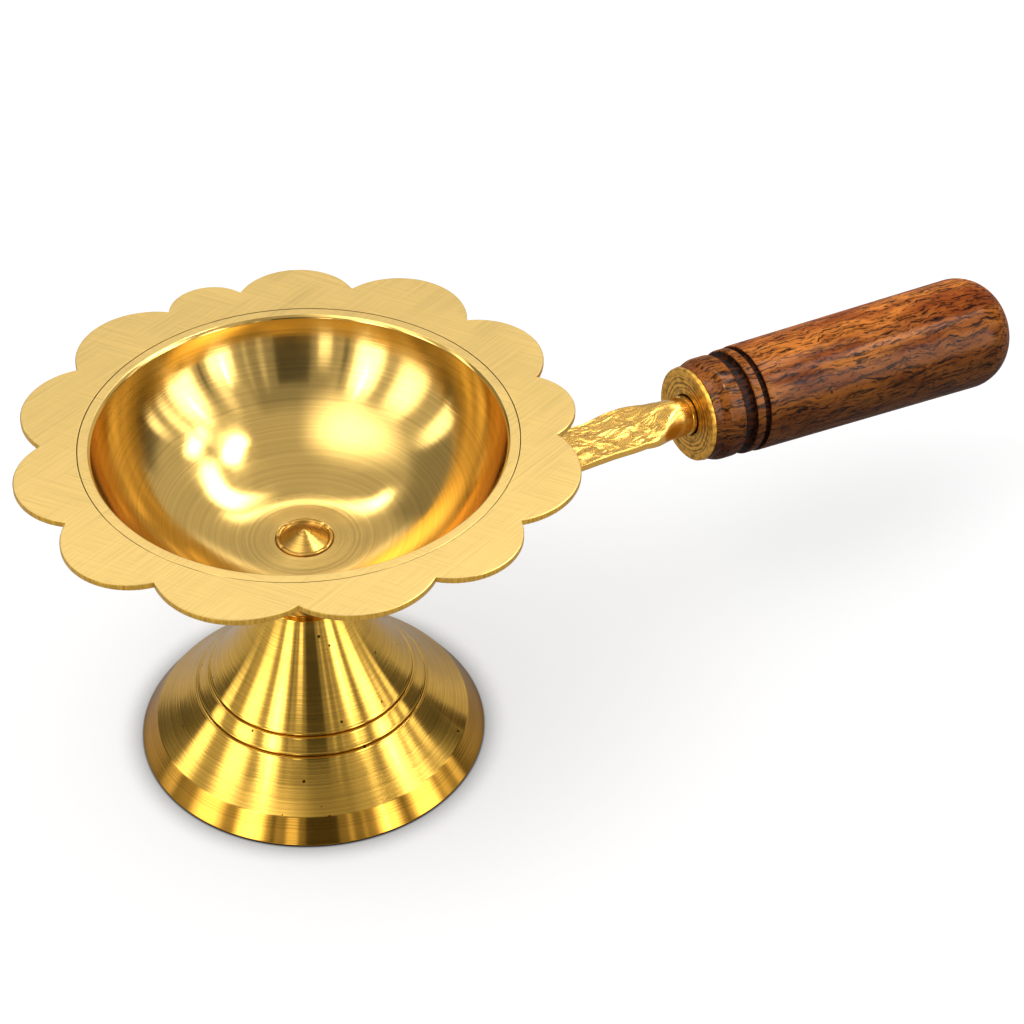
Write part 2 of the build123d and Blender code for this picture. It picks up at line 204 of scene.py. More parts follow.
class LampColours(bpy.types.PropertyGroup):
    """Colours of the brass and the wood."""

    turned: FloatVectorProperty(
        name="Turned brass", description="Colour of the pedestal", default=linear("#e7b54e"), subtype="COLOR"
    )
    # a darker copy of the turned brass: painted shade that tones down the bright reflections on the foot's bevel
    foot: FloatVectorProperty(
        name="Foot brass", description="Colour of the bevel of the foot", default=linear("#d39b39"), subtype="COLOR"
    )
    polished: FloatVectorProperty(
        name="Polished brass", description="Colour of the bowl", default=linear("#eac16c"), subtype="COLOR"
    )
    satin: FloatVectorProperty(
        name="Satin brass", description="Colour of the rim", default=linear("#dfbd72"), subtype="COLOR"
    )
    hammered: FloatVectorProperty(
        name="Hammered brass", description="Colour of the arm", default=linear("#e8b558"), subtype="COLOR"
    )
    dull: FloatVectorProperty(
        name="Dull brass", description="Colour of the ferrule", default=linear("#eeb44a"), subtype="COLOR"
    )
    tarnish: FloatVectorProperty(
        name="Tarnish", description="Brown in pits, scratches and corners", default=linear("#553408"), subtype="COLOR"
    )
    bar: FloatVectorProperty(
        name="Bar brass", description="Colour of the screw, washer and nut", default=linear("#d2a450"), subtype="COLOR"
    )
    wood_light: FloatVectorProperty(
        name="Light wood", description="Orange figure of the rosewood", default=linear("#ee8e3a"), subtype="COLOR"
    )
    wood_middle: FloatVectorProperty(
        name="Wood", description="Red-brown ground of the rosewood", default=linear("#a04c18"), subtype="COLOR"
    )
    # also the colour of the painted shade on the grip's lower side
    wood_dark: FloatVectorProperty(
        name="Dark wood", description="Nearly black streaks of the rosewood", default=linear("#1c0b05"), subtype="COLOR"
    )
    groove: FloatVectorProperty(
        name="Grooves", description="Blackened wood in the two grooves", default=linear("#140c09"), subtype="COLOR"
    )


class LampStudio(bpy.types.PropertyGroup):
    """Floor, daylight and camera."""

    floor: FloatVectorProperty(
        name="Floor", description="Colour of the floor", default=linear("#f4f4f4"), subtype="COLOR"
    )
    floor_glow: FloatProperty(
        name="Floor glow", description="Light that the floor gives the camera", default=0.51, subtype="FACTOR"
    )
    daylight: FloatProperty(
        name="Daylight", description="Strength of the white room on matt surfaces", default=0.85, subtype="FACTOR"
    )
    lens: FloatProperty(
        name="Lens", description="Focal length of the camera in millimetres", default=104.758, subtype="DISTANCE_CAMERA"
    )


def arc_centre(start, end, radius):
    """Centre of the arc from start to end: right of the way for a positive radius, left for a negative one."""
    start, end = np.array(start), np.array(end)
    run = end - start
    chord = np.hypot(*run)
    away = np.sign(radius) * np.sqrt(radius**2 - chord**2 / 4) / chord
    return (start + end) / 2 + away * np.array([run[1], -run[0]])


def arc(start, end, radius, shares):
    """Points C + R (cos f, sin f) on the arc from start to end, where f turns evenly with the shares of the way."""
    centre = arc_centre(start, end, radius)
    across, up = np.array(start) - centre
    chord = np.hypot(*(np.array(end) - np.array(start)))
    f = math.atan2(up, across) - np.sign(radius) * 2 * np.arcsin(chord / 2 / abs(radius)) * np.asarray(shares)
    return centre + abs(radius) * np.stack([np.cos(f), np.sin(f)], axis=-1)


def outline(*runs, steps=5):
    """Closed profile from runs of points, each with the width that its corners are rounded by.

    A corner P becomes the curve (1-t)^2 A + 2t(1-t) P + t^2 B, with A and B that width before and after P, and
    a point a little further on both sides keeps the flats flat. A run of width 0 keeps its points.
    """
    points = np.concatenate([np.reshape(p, (-1, 2)) for p, _ in runs])
    widths = np.concatenate([np.full(np.size(p) // 2, w, float) for p, w in runs])[:, None]
    before = np.roll(points, 1, axis=0) - points
    after = np.roll(points, -1, axis=0) - points
    before = widths * before / np.linalg.norm(before, axis=1, keepdims=True)
    after = widths * after / np.linalg.norm(after, axis=1, keepdims=True)
    t = np.linspace(0, 1, steps)[None, :, None]
    curve = points[:, None] + (1 - t) ** 2 * before[:, None] + t**2 * after[:, None]
    curve = np.concatenate([(points + 1.3 * before)[:, None], curve, (points + 1.3 * after)[:, None]], axis=1)
    return curve[(widths > 0) | (np.arange(steps + 2) == 0)]


def turned(radius, height, angles):
    """Surface of revolution (r cos a, r sin a, z): rows follow the profile, columns go round."""
    return np.stack(np.broadcast_arrays(radius * np.cos(angles), radius * np.sin(angles), height), axis=-1)


def full_turn(segments):
    """Angles all the way round, evenly spaced."""
    return np.linspace(0, TURN, segments, endpoint=False)


def on_handle(points):
    """From the handle's axes (across, up, along) to the lamp's."""
    return HANDLE_ORIGIN + points @ HANDLE_AXES


def thread_depth(along, angles, pitch, ends):
    """Depth of a right-hand thread: a triangle wave of along / pitch - angle / turn that runs out at both ends."""
    wave = np.abs((along / pitch - angles / TURN) % 1 - 0.5) * 2
    run_out = np.clip(np.minimum(along - ends[0], ends[1] - along) / pitch, 0, 1)
    return THREAD_DEPTH * pitch * wave * run_out


def bumps(spots, places, widths, heights):
    """Sum of bell curves: height * exp(-(distance / width)^2) of every spot from each place."""
    away = (spots[..., None, :] - places) / widths
    return (heights * np.exp(-np.sum(away**2, axis=-1))).sum(axis=-1)


def grid_faces(index):
    """Corners of the square faces between neighbours on a grid of point numbers."""
    return np.stack([index[:-1, :-1], index[:-1, 1:], index[1:, 1:], index[1:, :-1]], axis=-1)


def piece(name, node, body, patches, finishes, crease=32):
    """Object made of patches, each a grid of points in millimetres.

    A patch is (points, rows close, columns close, finish of each row of faces). Shared edges are merged, all
    faces turned outwards, and edges sharper than the crease angle in degrees stay sharp.
    """
    corners, faces, marks, count = [], [], [], 0
    for points, rows_close, columns_close, finish in patches:
        index = count + np.arange(points[..., 0].size).reshape(points.shape[:2])
        count += index.size
        index = np.concatenate([index, index[:1]]) if rows_close else index
        index = np.concatenate([index, index[:, :1]], axis=1) if columns_close else index
        quads = grid_faces(index)
        corners.append(points.reshape(-1, 3) * MM)
        faces.append(quads.reshape(-1, 4))
        marks.append(np.broadcast_to(np.reshape(finish, (-1, 1)), quads.shape[:2]).ravel())
    mesh = bpy.data.meshes.new(name)
    mesh.from_pydata(np.concatenate(corners).tolist(), [], np.concatenate(faces).tolist())
    mesh.polygons.foreach_set("material_index", np.concatenate(marks).astype(np.int32))
    skin = bmesh.new()
    skin.from_mesh(mesh)
    bmesh.ops.remove_doubles(skin, verts=skin.verts, dist=0.0005 * MM)
    bmesh.ops.recalc_face_normals(skin, faces=skin.faces)
    if any(not edge.is_manifold for edge in skin.edges):
        raise RuntimeError(f"the skin of {name} isn't closed")
    skin.to_mesh(mesh)
    skin.free()
    mesh.shade_smooth()
    mesh.set_sharp_from_angle(angle=math.radians(crease))
    made = bpy.data.objects.new(name, mesh)
    bpy.context.scene.collection.objects.link(made)
    for finish in finishes:
        mesh.materials.append(finish)
    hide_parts(node)
    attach(made, body)


def pedestal_patch(edge, score):
    """Closed profile turned round: foot, bevel, flare with two scored lines, neck, cove, collar, bore, hollow.

    A scored line is a V of the score's depth in the flare with a low burr on both sides. Its faces take the
    second finish, and the bevel takes the third.
    """
    shares = np.linspace(0, 1, 90)
    flare = arc(FLARE_START, FLARE_END, FLARE_ARC_R, shares)
    length = np.linalg.norm(np.diff(flare, axis=0), axis=1).sum()
    scores = np.interp(SCORE_RADII, flare[::-1, 0], shares[::-1])
    near = scores[:, None] + np.linspace(-0.9, 0.9, 19) / length
    shares = np.unique(np.concatenate([shares, near.ravel()]))[1:-1]
    flare = arc(FLARE_START, FLARE_END, FLARE_ARC_R, shares)
    away = np.abs(shares[:, None] - scores) * length
    burr = BURR_SHARE * np.exp(-(((away - BURR_AWAY) / BURR_W) ** 2))
    cut = score * (burr - np.clip(1 - away / SCORE_W, 0, 1))
    centre = arc_centre(FLARE_START, FLARE_END, FLARE_ARC_R)
    flare = flare + cut.sum(axis=1, keepdims=True) * (centre - flare) / FLARE_ARC_R

    cove_run = np.array([COLLAR_R, COLLAR_Z]) - COVE_START
    cove = arc(COVE_START, (COLLAR_R, COLLAR_Z), cove_run @ cove_run / (2 * cove_run[0]), np.linspace(0, 1, 22)[1:-1])
    hollow_r = FLARE_ARC_R + PEDESTAL_WALL
    wall_top = (centre[0] - math.sqrt(hollow_r**2 - (centre[1] - CEILING_Z) ** 2), CEILING_Z)
    wall_foot = (FOOT_INNER_R, centre[1] - math.sqrt(hollow_r**2 - (centre[0] - FOOT_INNER_R) ** 2))
    wall = arc(wall_top, wall_foot, -hollow_r, np.linspace(0, 1, 30)[1:-1])
    section = outline(
        ((FOOT_INNER_R, 0), 0.4),
        ((FOOT_R - FOOT_EDGE, 0), edge),
        ((FOOT_R, FOOT_EDGE), edge),
        (FLARE_START, edge),
        (flare, 0),
        (FLARE_END, edge),
        (COVE_START, 0.1),
        (cove, 0),
        ((COLLAR_R, COLLAR_Z), edge),
        ((COLLAR_R, PEDESTAL_H), edge),
        ((SCREW_HOLE_R, PEDESTAL_H), edge),
        ((SCREW_HOLE_R, CEILING_Z), edge),
        (wall_top, 0.6),
        (wall, 0),
        (wall_foot, 0.5),
    )
    middles = (section + np.roll(section, -1, axis=0)) / 2
    depth = np.linalg.norm(middles - centre, axis=1) - FLARE_ARC_R
    beside = (middles[:, 0] > SCORE_RADII[1] - 1) & (middles[:, 0] < SCORE_RADII[0] + 1)
    in_score = (depth > TARNISH_DEPTH) & (depth < 1) & beside
    bevel = (middles[:, 0] > FLARE_START[0]) & (middles[:, 1] > FOOT_EDGE / 2)
    return turned(section[:, :1], section[:, 1:], full_turn(PEDESTAL_STEPS)), True, True, np.where(bevel, 2, in_score)


def bowl_patch(edge):
    """Closed profile turned round: pad, outside, shoulder for the rim, lip, chamfered mouth, inside, counterbore.

    The flat of the lip takes the second finish.
    """
    mouth_z = TOP_Z - MOUTH_CHAMFER
    rise, run = mouth_z - FLOOR_Z, MOUTH_R - BOWL_FLOOR_R
    inner_r = (run**2 + rise**2) / (2 * rise)
    outer_r, centre_z = inner_r + BOWL_WALL, FLOOR_Z + inner_r
    pad_edge = (COLLAR_R, centre_z - math.sqrt(outer_r**2 - (COLLAR_R - BOWL_FLOOR_R) ** 2))
    root = (BOWL_FLOOR_R + math.sqrt(outer_r**2 - (centre_z - ROOT_Z) ** 2), ROOT_Z)
    section = outline(
        ((SCREW_HOLE_R, ARM_TOP_Z), edge),
        ((COLLAR_R, ARM_TOP_Z), edge),
        (pad_edge, edge),
        (arc(pad_edge, root, -outer_r, np.linspace(0, 1, 42)[1:-1]), 0),
        (root, 0.4),
        ((SHOULDER_R, SHOULDER_Z), edge),
        ((SHOULDER_R, RIM_Z), 0.1),
        ((LIP_R, RIM_Z), 0.1),
        ((LIP_R, TOP_Z), 0.12),
        ((MOUTH_R + MOUTH_CHAMFER, TOP_Z), 0.12),
        ((MOUTH_R, mouth_z), 0.2),
        (arc((MOUTH_R, mouth_z), (BOWL_FLOOR_R, FLOOR_Z), inner_r, np.linspace(0, 1, 74)[1:]), 0),
        ((HEAD_SINK_R, FLOOR_Z), 0.12),
        ((HEAD_SINK_R, HEAD_SEAT_Z), 0.05),
        ((SCREW_HOLE_R, HEAD_SEAT_Z), edge),
    )
    middle_z = (section[:, 1] + np.roll(section[:, 1], -1)) / 2
    on_lip = (middle_z > TOP_Z - 0.04).astype(int)
    return turned(section[:, :1], section[:, 1:], full_turn(BOWL_STEPS)), True, True, on_lip


def rim_patch(edge):
    """Sawn plate: a closed section swept round between the lip's circle and the petals' outline.

    With d the angle from a petal's middle, the outline is c cos d + sqrt(p^2 - c^2 sin^2 d): the arc of
    radius p about a point at c that runs from notch to notch through the tip. The sawn edge takes the second
    finish, and the seam at the lip the third.
    """
    spans = np.radians(np.array(PETAL_SPANS) * 360 / sum(PETAL_SPANS))
    starts = math.radians(FIRST_NOTCH) + np.cumsum(spans) - spans
    tips = NOTCH_R + np.array(PETAL_DEPTHS)
    half_chord, sagitta = NOTCH_R * np.sin(spans / 2), tips - NOTCH_R * np.cos(spans / 2)
    p = ((half_chord**2 + sagitta**2) / (2 * sagitta))[:, None]
    c = tips[:, None] - p
    share = np.linspace(0, 1, PETAL_STEPS, endpoint=False)
    d = spans[:, None] * (share - 0.5)
    reach = (c * np.cos(d) + np.sqrt(p**2 - (c * np.sin(d)) ** 2)).ravel()
    angles = (starts[:, None] + spans[:, None] * share).ravel()
    way = np.stack([np.cos(angles), np.sin(angles)], axis=-1)

    # the section's rows go out under the plate, up its rounded edge, back over the top and down the seam
    e = edge
    across = np.array([0, 0.5, 1, 1, 1, 1, 1, 1, 1, 1, 0.5, 0, 0, 0])[:, None, None]
    inset = np.array([0, 0, 1.6 * e, e, e * 0.3, 0, 0, e * 0.3, e, 1.6 * e, 0, -0.16, -0.08, 0])[:, None, None]
    low, high = RIM_Z, TOP_Z
    level = [low] * 4 + [low + e * 0.3, low + e, high - e, high - e * 0.3] + [high] * 5 + [high - 0.08]
    inner, outer = RIM_INNER_R * way, RIM_CENTRE + reach[:, None] * way
    plan = inner + across * (outer - inner) - inset * way
    height = np.broadcast_to(np.array(level)[:, None, None], plan.shape[:2] + (1,))
    finish = np.array([0, 0, 0, 0, 1, 1, 1, 0, 0, 0, 0, 0, 2, 2])
    return np.concatenate([plan, height], axis=-1), True, True, finish


def screw_patch(edge, pitch):
    """Profile turned round from the tail's middle to the cone's tip, with a thread and a peened ring.

    The cone is the hyperbola 1 - sqrt(q^2 + b), with q the share of its radius and b its bluntness. The ring's
    height has shallow nicks, bell curves of the angle from seeded places.
    """
    rng = np.random.default_rng(5)
    angles = full_turn(SCREW_STEPS)
    thread_z = np.arange(SCREW_TAIL_Z + SCREW_CHAMFER, THREAD_TOP_Z, pitch / THREAD_STEPS)
    tail = [(0, SCREW_TAIL_Z), (SCREW_R - SCREW_CHAMFER, SCREW_TAIL_Z)]
    shank = np.stack([np.full(thread_z.size, SCREW_R), thread_z], axis=-1)
    neck = [(SCREW_R, THREAD_TOP_Z), (SCREW_R, HEAD_SEAT_Z)]
    head = [(HEAD_R - edge, HEAD_SEAT_Z), (HEAD_R, HEAD_SEAT_Z + edge)]
    round_t = np.linspace(0, math.pi, 9)
    half_w = (HEAD_R - HEAD_RING_R) / 2
    ring_r = HEAD_R - half_w + half_w * np.cos(round_t)
    ring_z = HEAD_RING_Z - 0.2 + 0.2 * np.sin(round_t)
    cone_t = np.linspace(0, 1, 40)
    cone_r = HEAD_CONE_R * (1 - cone_t)
    rise = (1 - np.sqrt((1 - cone_t) ** 2 + CONE_BLUNT)) / (1 - math.sqrt(CONE_BLUNT))
    cone_z = HEAD_MOAT_Z + (HEAD_APEX_Z - HEAD_MOAT_Z) * rise
    top = [np.stack(way, axis=-1) for way in ((ring_r, ring_z), (cone_r, cone_z))]
    profile = np.concatenate([tail, shank, neck, head, *top])
    radius, height = profile[:, :1], profile[:, 1:]
    screwed = thread_depth(height, angles, pitch, (SCREW_TAIL_Z + SCREW_CHAMFER, THREAD_TOP_Z))
    away = (angles[:, None] - rng.uniform(0, TURN, NICKS) + math.pi) % TURN - math.pi
    deep, wide = rng.uniform(0.08, 0.3, NICKS), rng.uniform(0.03, 0.11, NICKS)
    nick = (deep * np.exp(-((away / wide) ** 2))).sum(axis=-1)
    on_ring = np.exp(-(((radius - HEAD_R + half_w) / 0.35) ** 2)) * (height > HEAD_RING_Z - 0.25)
    on_shank = (height > SCREW_TAIL_Z) & (height < THREAD_TOP_Z) & (radius > HEAD_R / 2)
    return turned(radius - screwed * on_shank, height - nick * on_ring, angles), False, True, 0


def washer_patch(edge):
    """Rectangle with rounded corners turned round."""
    top = WASHER_Z + WASHER_T
    corners = ((SCREW_HOLE_R, WASHER_Z), (WASHER_R, WASHER_Z), (WASHER_R, top), (SCREW_HOLE_R, top))
    section = outline((corners, edge))
    return turned(section[:, :1], section[:, 1:], full_turn(WASHER_STEPS)), True, True, 0


def nut_patch(pitch):
    """Closed section swept round inside a hexagon, reach = flats / 2 / cos d, with d the angle from a flat's middle.

    The cone that turns the free corners down meets the reach at a height of half its excess.
    """
    angles = full_turn(NUT_STEPS)
    reach = NUT_FLATS / 2 / np.cos(angles % (TURN / 6) - TURN / 12)
    cone_r = NUT_FLATS / 2 / math.cos(TURN / 12) - NUT_CHAMFER
    lift = np.clip((reach - cone_r) / 2, 0.02, None)
    along = np.linspace(NUT_H - 0.4, 0.4, 40)[:, None]
    bore = TANG_HOLE_R + 0.02 + INNER_THREAD * thread_depth(along, angles, pitch, (0.4, NUT_H - 0.4))
    mouth = TANG_HOLE_R + 0.4
    outside = np.broadcast_arrays(mouth, np.minimum(reach, cone_r), reach, reach, reach - 0.15, mouth)
    radius = np.concatenate([np.array(outside), bore])
    level = np.broadcast_arrays(0, 0, lift, NUT_H - 0.1, NUT_H, NUT_H)
    height = np.concatenate([np.array(level), np.broadcast_to(along, bore.shape)])
    return turned(radius, NUT_Z + height, angles), True, True, 0


def arm_patches(hammer, pitch):
    """Eye, strap and blend as four quarter skins of a section, the eye's bore, and the turned neck and tang.

    Across the flat the section is a rectangle with rounded edges from the bore's edge to the plan's edge. Over
    the blend every point moves from that rectangle to its place on the rod's circle, by 3u^2 - 2u^3. Hammer
    marks are bell curves of seeded places, and the far edge waves by two sines. Sides, bore and rod take the
    second finish, and the rod inside the ferrule the third.
    """
    rng = np.random.default_rng(11)
    meet = math.sqrt(ARM_EYE_R**2 - (ARM_ROOT_W / 2 + 0.4) ** 2)
    ends = np.array([-ARM_EYE_R, -SCREW_HOLE_R, SCREW_HOLE_R, meet])
    share = (1 - np.cos(np.linspace(0, math.pi, EYE_ROWS + 1))) / 2
    eye = (ends[:-1, None] + np.diff(ends)[:, None] * share[:-1]).ravel()
    strap = np.linspace(meet, ARM_FLAT_L, STRAP_ROWS)
    u = np.concatenate([np.zeros(eye.size + strap.size), np.linspace(0, 1, BLEND_ROWS + 1)[1:]])
    x = np.concatenate([eye, strap, np.full(BLEND_ROWS, ARM_FLAT_L)])
    on_strap = x >= meet
    half_w = np.where(on_strap, ARM_ROOT_W / 2 + (ARM_TIP_W - ARM_ROOT_W) / 2 * x / ARM_FLAT_L, 0)
    half_w = np.where(on_strap, half_w, np.sqrt(np.clip(ARM_EYE_R**2 - x**2, 0, None)))
    half_w[eye.size] = math.sqrt(ARM_EYE_R**2 - meet**2)
    bore = np.sqrt(np.clip(SCREW_HOLE_R**2 - x**2, 0, None))
    fade = np.clip((x - 16) / 12, 0, 1)
    soft = np.minimum(ARM_EDGE + ARM_WORN_EDGE * fade, np.maximum(half_w - bore, 0))

    # one quarter of the section: straight top, round edge, half of the side
    bend = np.linspace(0, math.pi / 2, EDGE_COLUMNS)
    on_top, on_side = np.ones(TOP_COLUMNS), np.ones(SIDE_COLUMNS)
    top_y = np.concatenate([np.linspace(0, 1, TOP_COLUMNS, endpoint=False), np.ones(EDGE_COLUMNS), on_side])
    side_z = np.concatenate([on_top, np.ones(EDGE_COLUMNS), np.linspace(1, 0, SIDE_COLUMNS + 1)[1:]])
    bend_y = np.concatenate([0 * on_top, np.sin(bend), on_side])
    bend_z = np.concatenate([on_top, np.cos(bend), 0 * on_side])
    turn = np.linspace(math.pi / 2, 0, top_y.size)
    k = (u**2 * (3 - 2 * u))[:, None]
    swell = 1 + 0.1 * np.sin(math.pi * u)[:, None]
    wave = 0.22 * fade * np.sin(x / 3.1) * np.sin(x / 7.3 + 0.8) + 0.18 * fade * np.sin(x / 1.7 + 2)

    start = np.array([ARM_FLAT_L, 0, PEDESTAL_H + ARM_HALF_T])
    rod_start = on_handle(np.array([0, 0, -ROD_NECK_L]))
    middle = start + u[:, None] * (rod_start - start) + (x - ARM_FLAT_L)[:, None] * np.array([1.0, 0, 0])
    up = np.stack([np.sin(DROOP * u), 0 * u, np.cos(DROOP * u)], axis=-1)
    ranges = ((16, 90), (-7, 7), (0.7, 2.6), (0.5, 1.3), (-1.0, 0.7))
    along, aside, long, wide, deep = (rng.uniform(*span, HAMMER_MARKS) for span in ranges)
    places, widths = np.stack([along, aside], axis=-1), np.stack([long, wide], axis=-1)

    flat_share = (top_y * side_z * (1 - bend_y) + (top_y < 1)).clip(0, 1)
    beaten = (fade * np.clip(1.4 * (1 - u), 0, 1))[:, None]

    patches = []
    for side, face in ((1, 1), (-1, 1), (-1, -1), (1, -1)):
        width = (half_w + (wave if side > 0 else 0.3 * wave))[:, None]
        y = bore[:, None] + (width - bore[:, None] - soft[:, None]) * top_y + soft[:, None] * bend_y
        z = (ARM_HALF_T - soft[:, None]) * side_z + soft[:, None] * bend_z
        y = side * ((1 - k) * y * swell + k * ROD_R * np.cos(turn))
        z = face * ((1 - k) * z + k * ROD_R * np.sin(turn))
        spots = np.stack(np.broadcast_arrays(middle[:, :1], y), axis=-1)
        dent = bumps(spots, places, widths, hammer * deep) * flat_share * beaten
        z = z + dent * (1 if face > 0 else 0.4)
        across = np.stack([0 * y, y, 0 * y], axis=-1)
        skin = middle[:, None] + across + z[..., None] * up[:, None]
        on_edge = np.arange(top_y.size - 1) >= TOP_COLUMNS + EDGE_COLUMNS // 2
        patches.append((np.swapaxes(skin, 0, 1), False, False, on_edge))
    hole = (x >= -SCREW_HOLE_R) & (x <= SCREW_HOLE_R)
    hole_x = np.concatenate([x[hole], x[hole][-2:0:-1]])
    hole_y = np.concatenate([bore[hole], -bore[hole][-2:0:-1]])
    level = start[2] + ARM_HALF_T * np.array([1, 0, -1])[:, None]
    patches.append((np.stack(np.broadcast_arrays(hole_x, hole_y, level), axis=-1), False, True, 1))

    # the rod's rows start at the angles of the blend's last section
    angles = np.concatenate([turn[::-1][:-1] + q * math.pi / 2 for q in range(4)])
    thread_s = np.arange(FERRULE_T + 0.6, TANG_END - 0.5, pitch / THREAD_STEPS)
    profile = np.concatenate(
        [
            [(ROD_R, -ROD_NECK_L), (ROD_R, RELIEF_START - 0.12), (ROD_R - 0.12, RELIEF_START)],
            [(RELIEF_R, RELIEF_START + 0.1), (RELIEF_R, RELIEF_END - 0.1)],
            [(ROD_R - 0.12, RELIEF_END), (ROD_R, RELIEF_END + 0.12), (ROD_R, -0.1)],
            [(ROD_R, FERRULE_T - 0.15), (ROD_R - 0.15, FERRULE_T), (TANG_R, FERRULE_T)],
            np.stack([np.full(thread_s.size, TANG_R - 0.02), thread_s], axis=-1),
            [(TANG_R - 0.1, TANG_END - 0.4), (TANG_R - 0.5, TANG_END), (0, TANG_END)],
        ]
    )
    radius, along = profile[:, :1], profile[:, 1:]
    cut = thread_depth(along, angles, pitch, (FERRULE_T + 0.6, TANG_END - 0.5)) * (along > FERRULE_T)
    middles = (along[1:] + along[:-1]) / 2
    finish = np.where((middles > 0) & (middles < FERRULE_T), 2, 1)
    patches.append((on_handle(turned(radius - cut, along, angles)), False, True, finish))
    return patches


def ferrule_patch():
    """Disc with rounded edges turned round the handle, its face ridged by a sum of sines of the radius.

    Its bore takes the second finish.
    """
    r = np.linspace(FERRULE_HOLE_R + 0.15, FERRULE_R - FERRULE_CHAMFER - 0.1, 48)
    ridge = 0.018 * np.sin(r * 8.1) + 0.014 * np.sin(r * 13.7 + 1) + 0.01 * np.sin(r * 21.3 + 2)
    section = outline(
        ((FERRULE_HOLE_R, 0.02), 0.08),
        (np.stack([r, 0.04 + ridge], axis=-1), 0),
        ((FERRULE_R - FERRULE_CHAMFER, 0), 0.08),
        ((FERRULE_R, FERRULE_CHAMFER), 0.1),
        ((FERRULE_R, FERRULE_T), 0.1),
        ((FERRULE_HOLE_R, FERRULE_T), 0.1),
    )
    bore = section[:, 0] + np.roll(section[:, 0], -1) < 2 * FERRULE_HOLE_R + 0.1
    return on_handle(turned(section[:, :1], section[:, 1:], full_turn(HANDLE_STEPS))), True, True, bore


def insert_patch(pitch):
    """Sleeve turned round the handle with a thread cut into its bore."""
    angles = full_turn(SLEEVE_STEPS)
    along = np.arange(TANG_END - 0.5, FERRULE_T + 0.5, -pitch / THREAD_STEPS)[:, None]
    cut = thread_depth(along, angles, pitch, (FERRULE_T + 0.5, TANG_END - 0.5))
    mouth = TANG_HOLE_R + 0.4
    outer_r = np.array([[mouth], [INSERT_R], [INSERT_R], [mouth]])
    outer_z = np.array([[FERRULE_T], [FERRULE_T], [TANG_END], [TANG_END]])
    bore = TANG_HOLE_R + 0.02 + INNER_THREAD * cut
    radius = np.concatenate([np.broadcast_to(outer_r, (4, angles.size)), bore])
    height = np.concatenate([outer_z, along])
    return on_handle(turned(radius, height, angles)), True, True, 0


def grip_patch():
    """Profile turned round the handle from the bore's end, over nose, bead, grooves and barrel, to the round end.

    Faces whose middle lies in a groove take the second finish.
    """
    bead_run = np.array([BEAD_R - NOSE_R, BEAD_ROUND - NOSE_END])
    bead_bend = -(bead_run @ bead_run) / (2 * bead_run[0])
    bead = arc((NOSE_R, NOSE_END), (BEAD_R, BEAD_ROUND), bead_bend, np.linspace(0, 1, 16)[1:])
    dome = arc((BARREL_END_R, BARREL_END), (BARREL_END_R - DOME_R, GRIP_END), -DOME_R, np.linspace(0, 1, 34))
    barrel = np.linspace((BARREL_FRONT_R, BARREL_START), (BARREL_END_R, BARREL_END), 40)[1:-1]
    section = outline(
        ((0, BORE_END), 0),
        ((TANG_HOLE_R, BORE_END), 0.1),
        ((TANG_HOLE_R, TANG_END), 0.1),
        ((INSERT_R, TANG_END), 0.1),
        ((INSERT_R, FERRULE_T), 0.2),
        ((NOSE_R, FERRULE_T), 0.15),
        ((NOSE_R, NOSE_END), 0.1),
        (bead, 0),
        ((BEAD_R, BEAD_END), 0.45),
        ((GROOVE_1_R, BEAD_END), 0.15),
        ((GROOVE_1_R, GROOVE_1_END), 0.15),
        ((LAND_R, GROOVE_1_END), 0.25),
        ((LAND_R, LAND_END), 0.2),
        ((GROOVE_2_R, LAND_END), 0.15),
        ((GROOVE_2_R, BARREL_START), 0.15),
        ((BARREL_FRONT_R, BARREL_START), 0.3),
        (barrel, 0),
        (dome, 0),
        ((0, GRIP_END), 0),
        steps=6,
    )
    r, s = ((section[1:] + section[:-1]) / 2).T
    in_first = (s > BEAD_END - 0.02) & (s < GROOVE_1_END + 0.02) & (r < LAND_R - 0.3) & (r > INSERT_R + 1)
    in_second = (s > LAND_END - 0.02) & (s < BARREL_START + 0.02) & (r < BARREL_FRONT_R - 0.2) & (r > INSERT_R + 1)
    finish = (in_first | in_second).astype(int)
    return on_handle(turned(section[:, :1], section[:, 1:], full_turn(HANDLE_STEPS))), False, True, finish


def add_node(tree, kind, links, **settings):
    """Adds a shader node with its settings. Links give its inputs a node, a socket or a plain value."""
    made = tree.nodes.new("ShaderNode" + kind)
    for key, value in settings.items():
        setattr(made, key, value)
    for name, source in links.items():
        source = source.outputs[0] if isinstance(source, bpy.types.Node) else source
        if isinstance(source, bpy.types.NodeSocket):
            tree.links.new(source, made.inputs[name])
        else:
            made.inputs[name].default_value = source
    return made


def new_finish(name):
    """Empty material, its node tree and the piece's own coordinates in metres."""
    made = bpy.data.materials.new(name)
    made.use_nodes = True
    made.node_tree.nodes.clear()
    return made, made.node_tree, add_node(made.node_tree, "TexCoord", {}).outputs["Object"]


def rgba(colour):
    """Colour with full cover."""
    return (*colour, 1.0)


def brass(tree, colours, colour, stain, matt, relief, streak=0.0):
    """Brass that is stained towards brown tarnish. A streak draws its highlights out along a turned profile."""
    base = add_node(tree, "Mix", {0: stain, 6: rgba(colour), 7: rgba(colours.tarnish)}, data_type="RGBA")
    links = {"Base Color": base.outputs[2], "Metallic": 1, "Roughness": matt, "Normal": relief}
    if streak:
        around = add_node(tree, "Tangent", {}, direction_type="RADIAL", axis="Z")
        links |= {"Anisotropic": streak, "Anisotropic Rotation": 0.25, "Tangent": around}
    add_node(tree, "OutputMaterial", {0: add_node(tree, "BsdfPrincipled", links)})


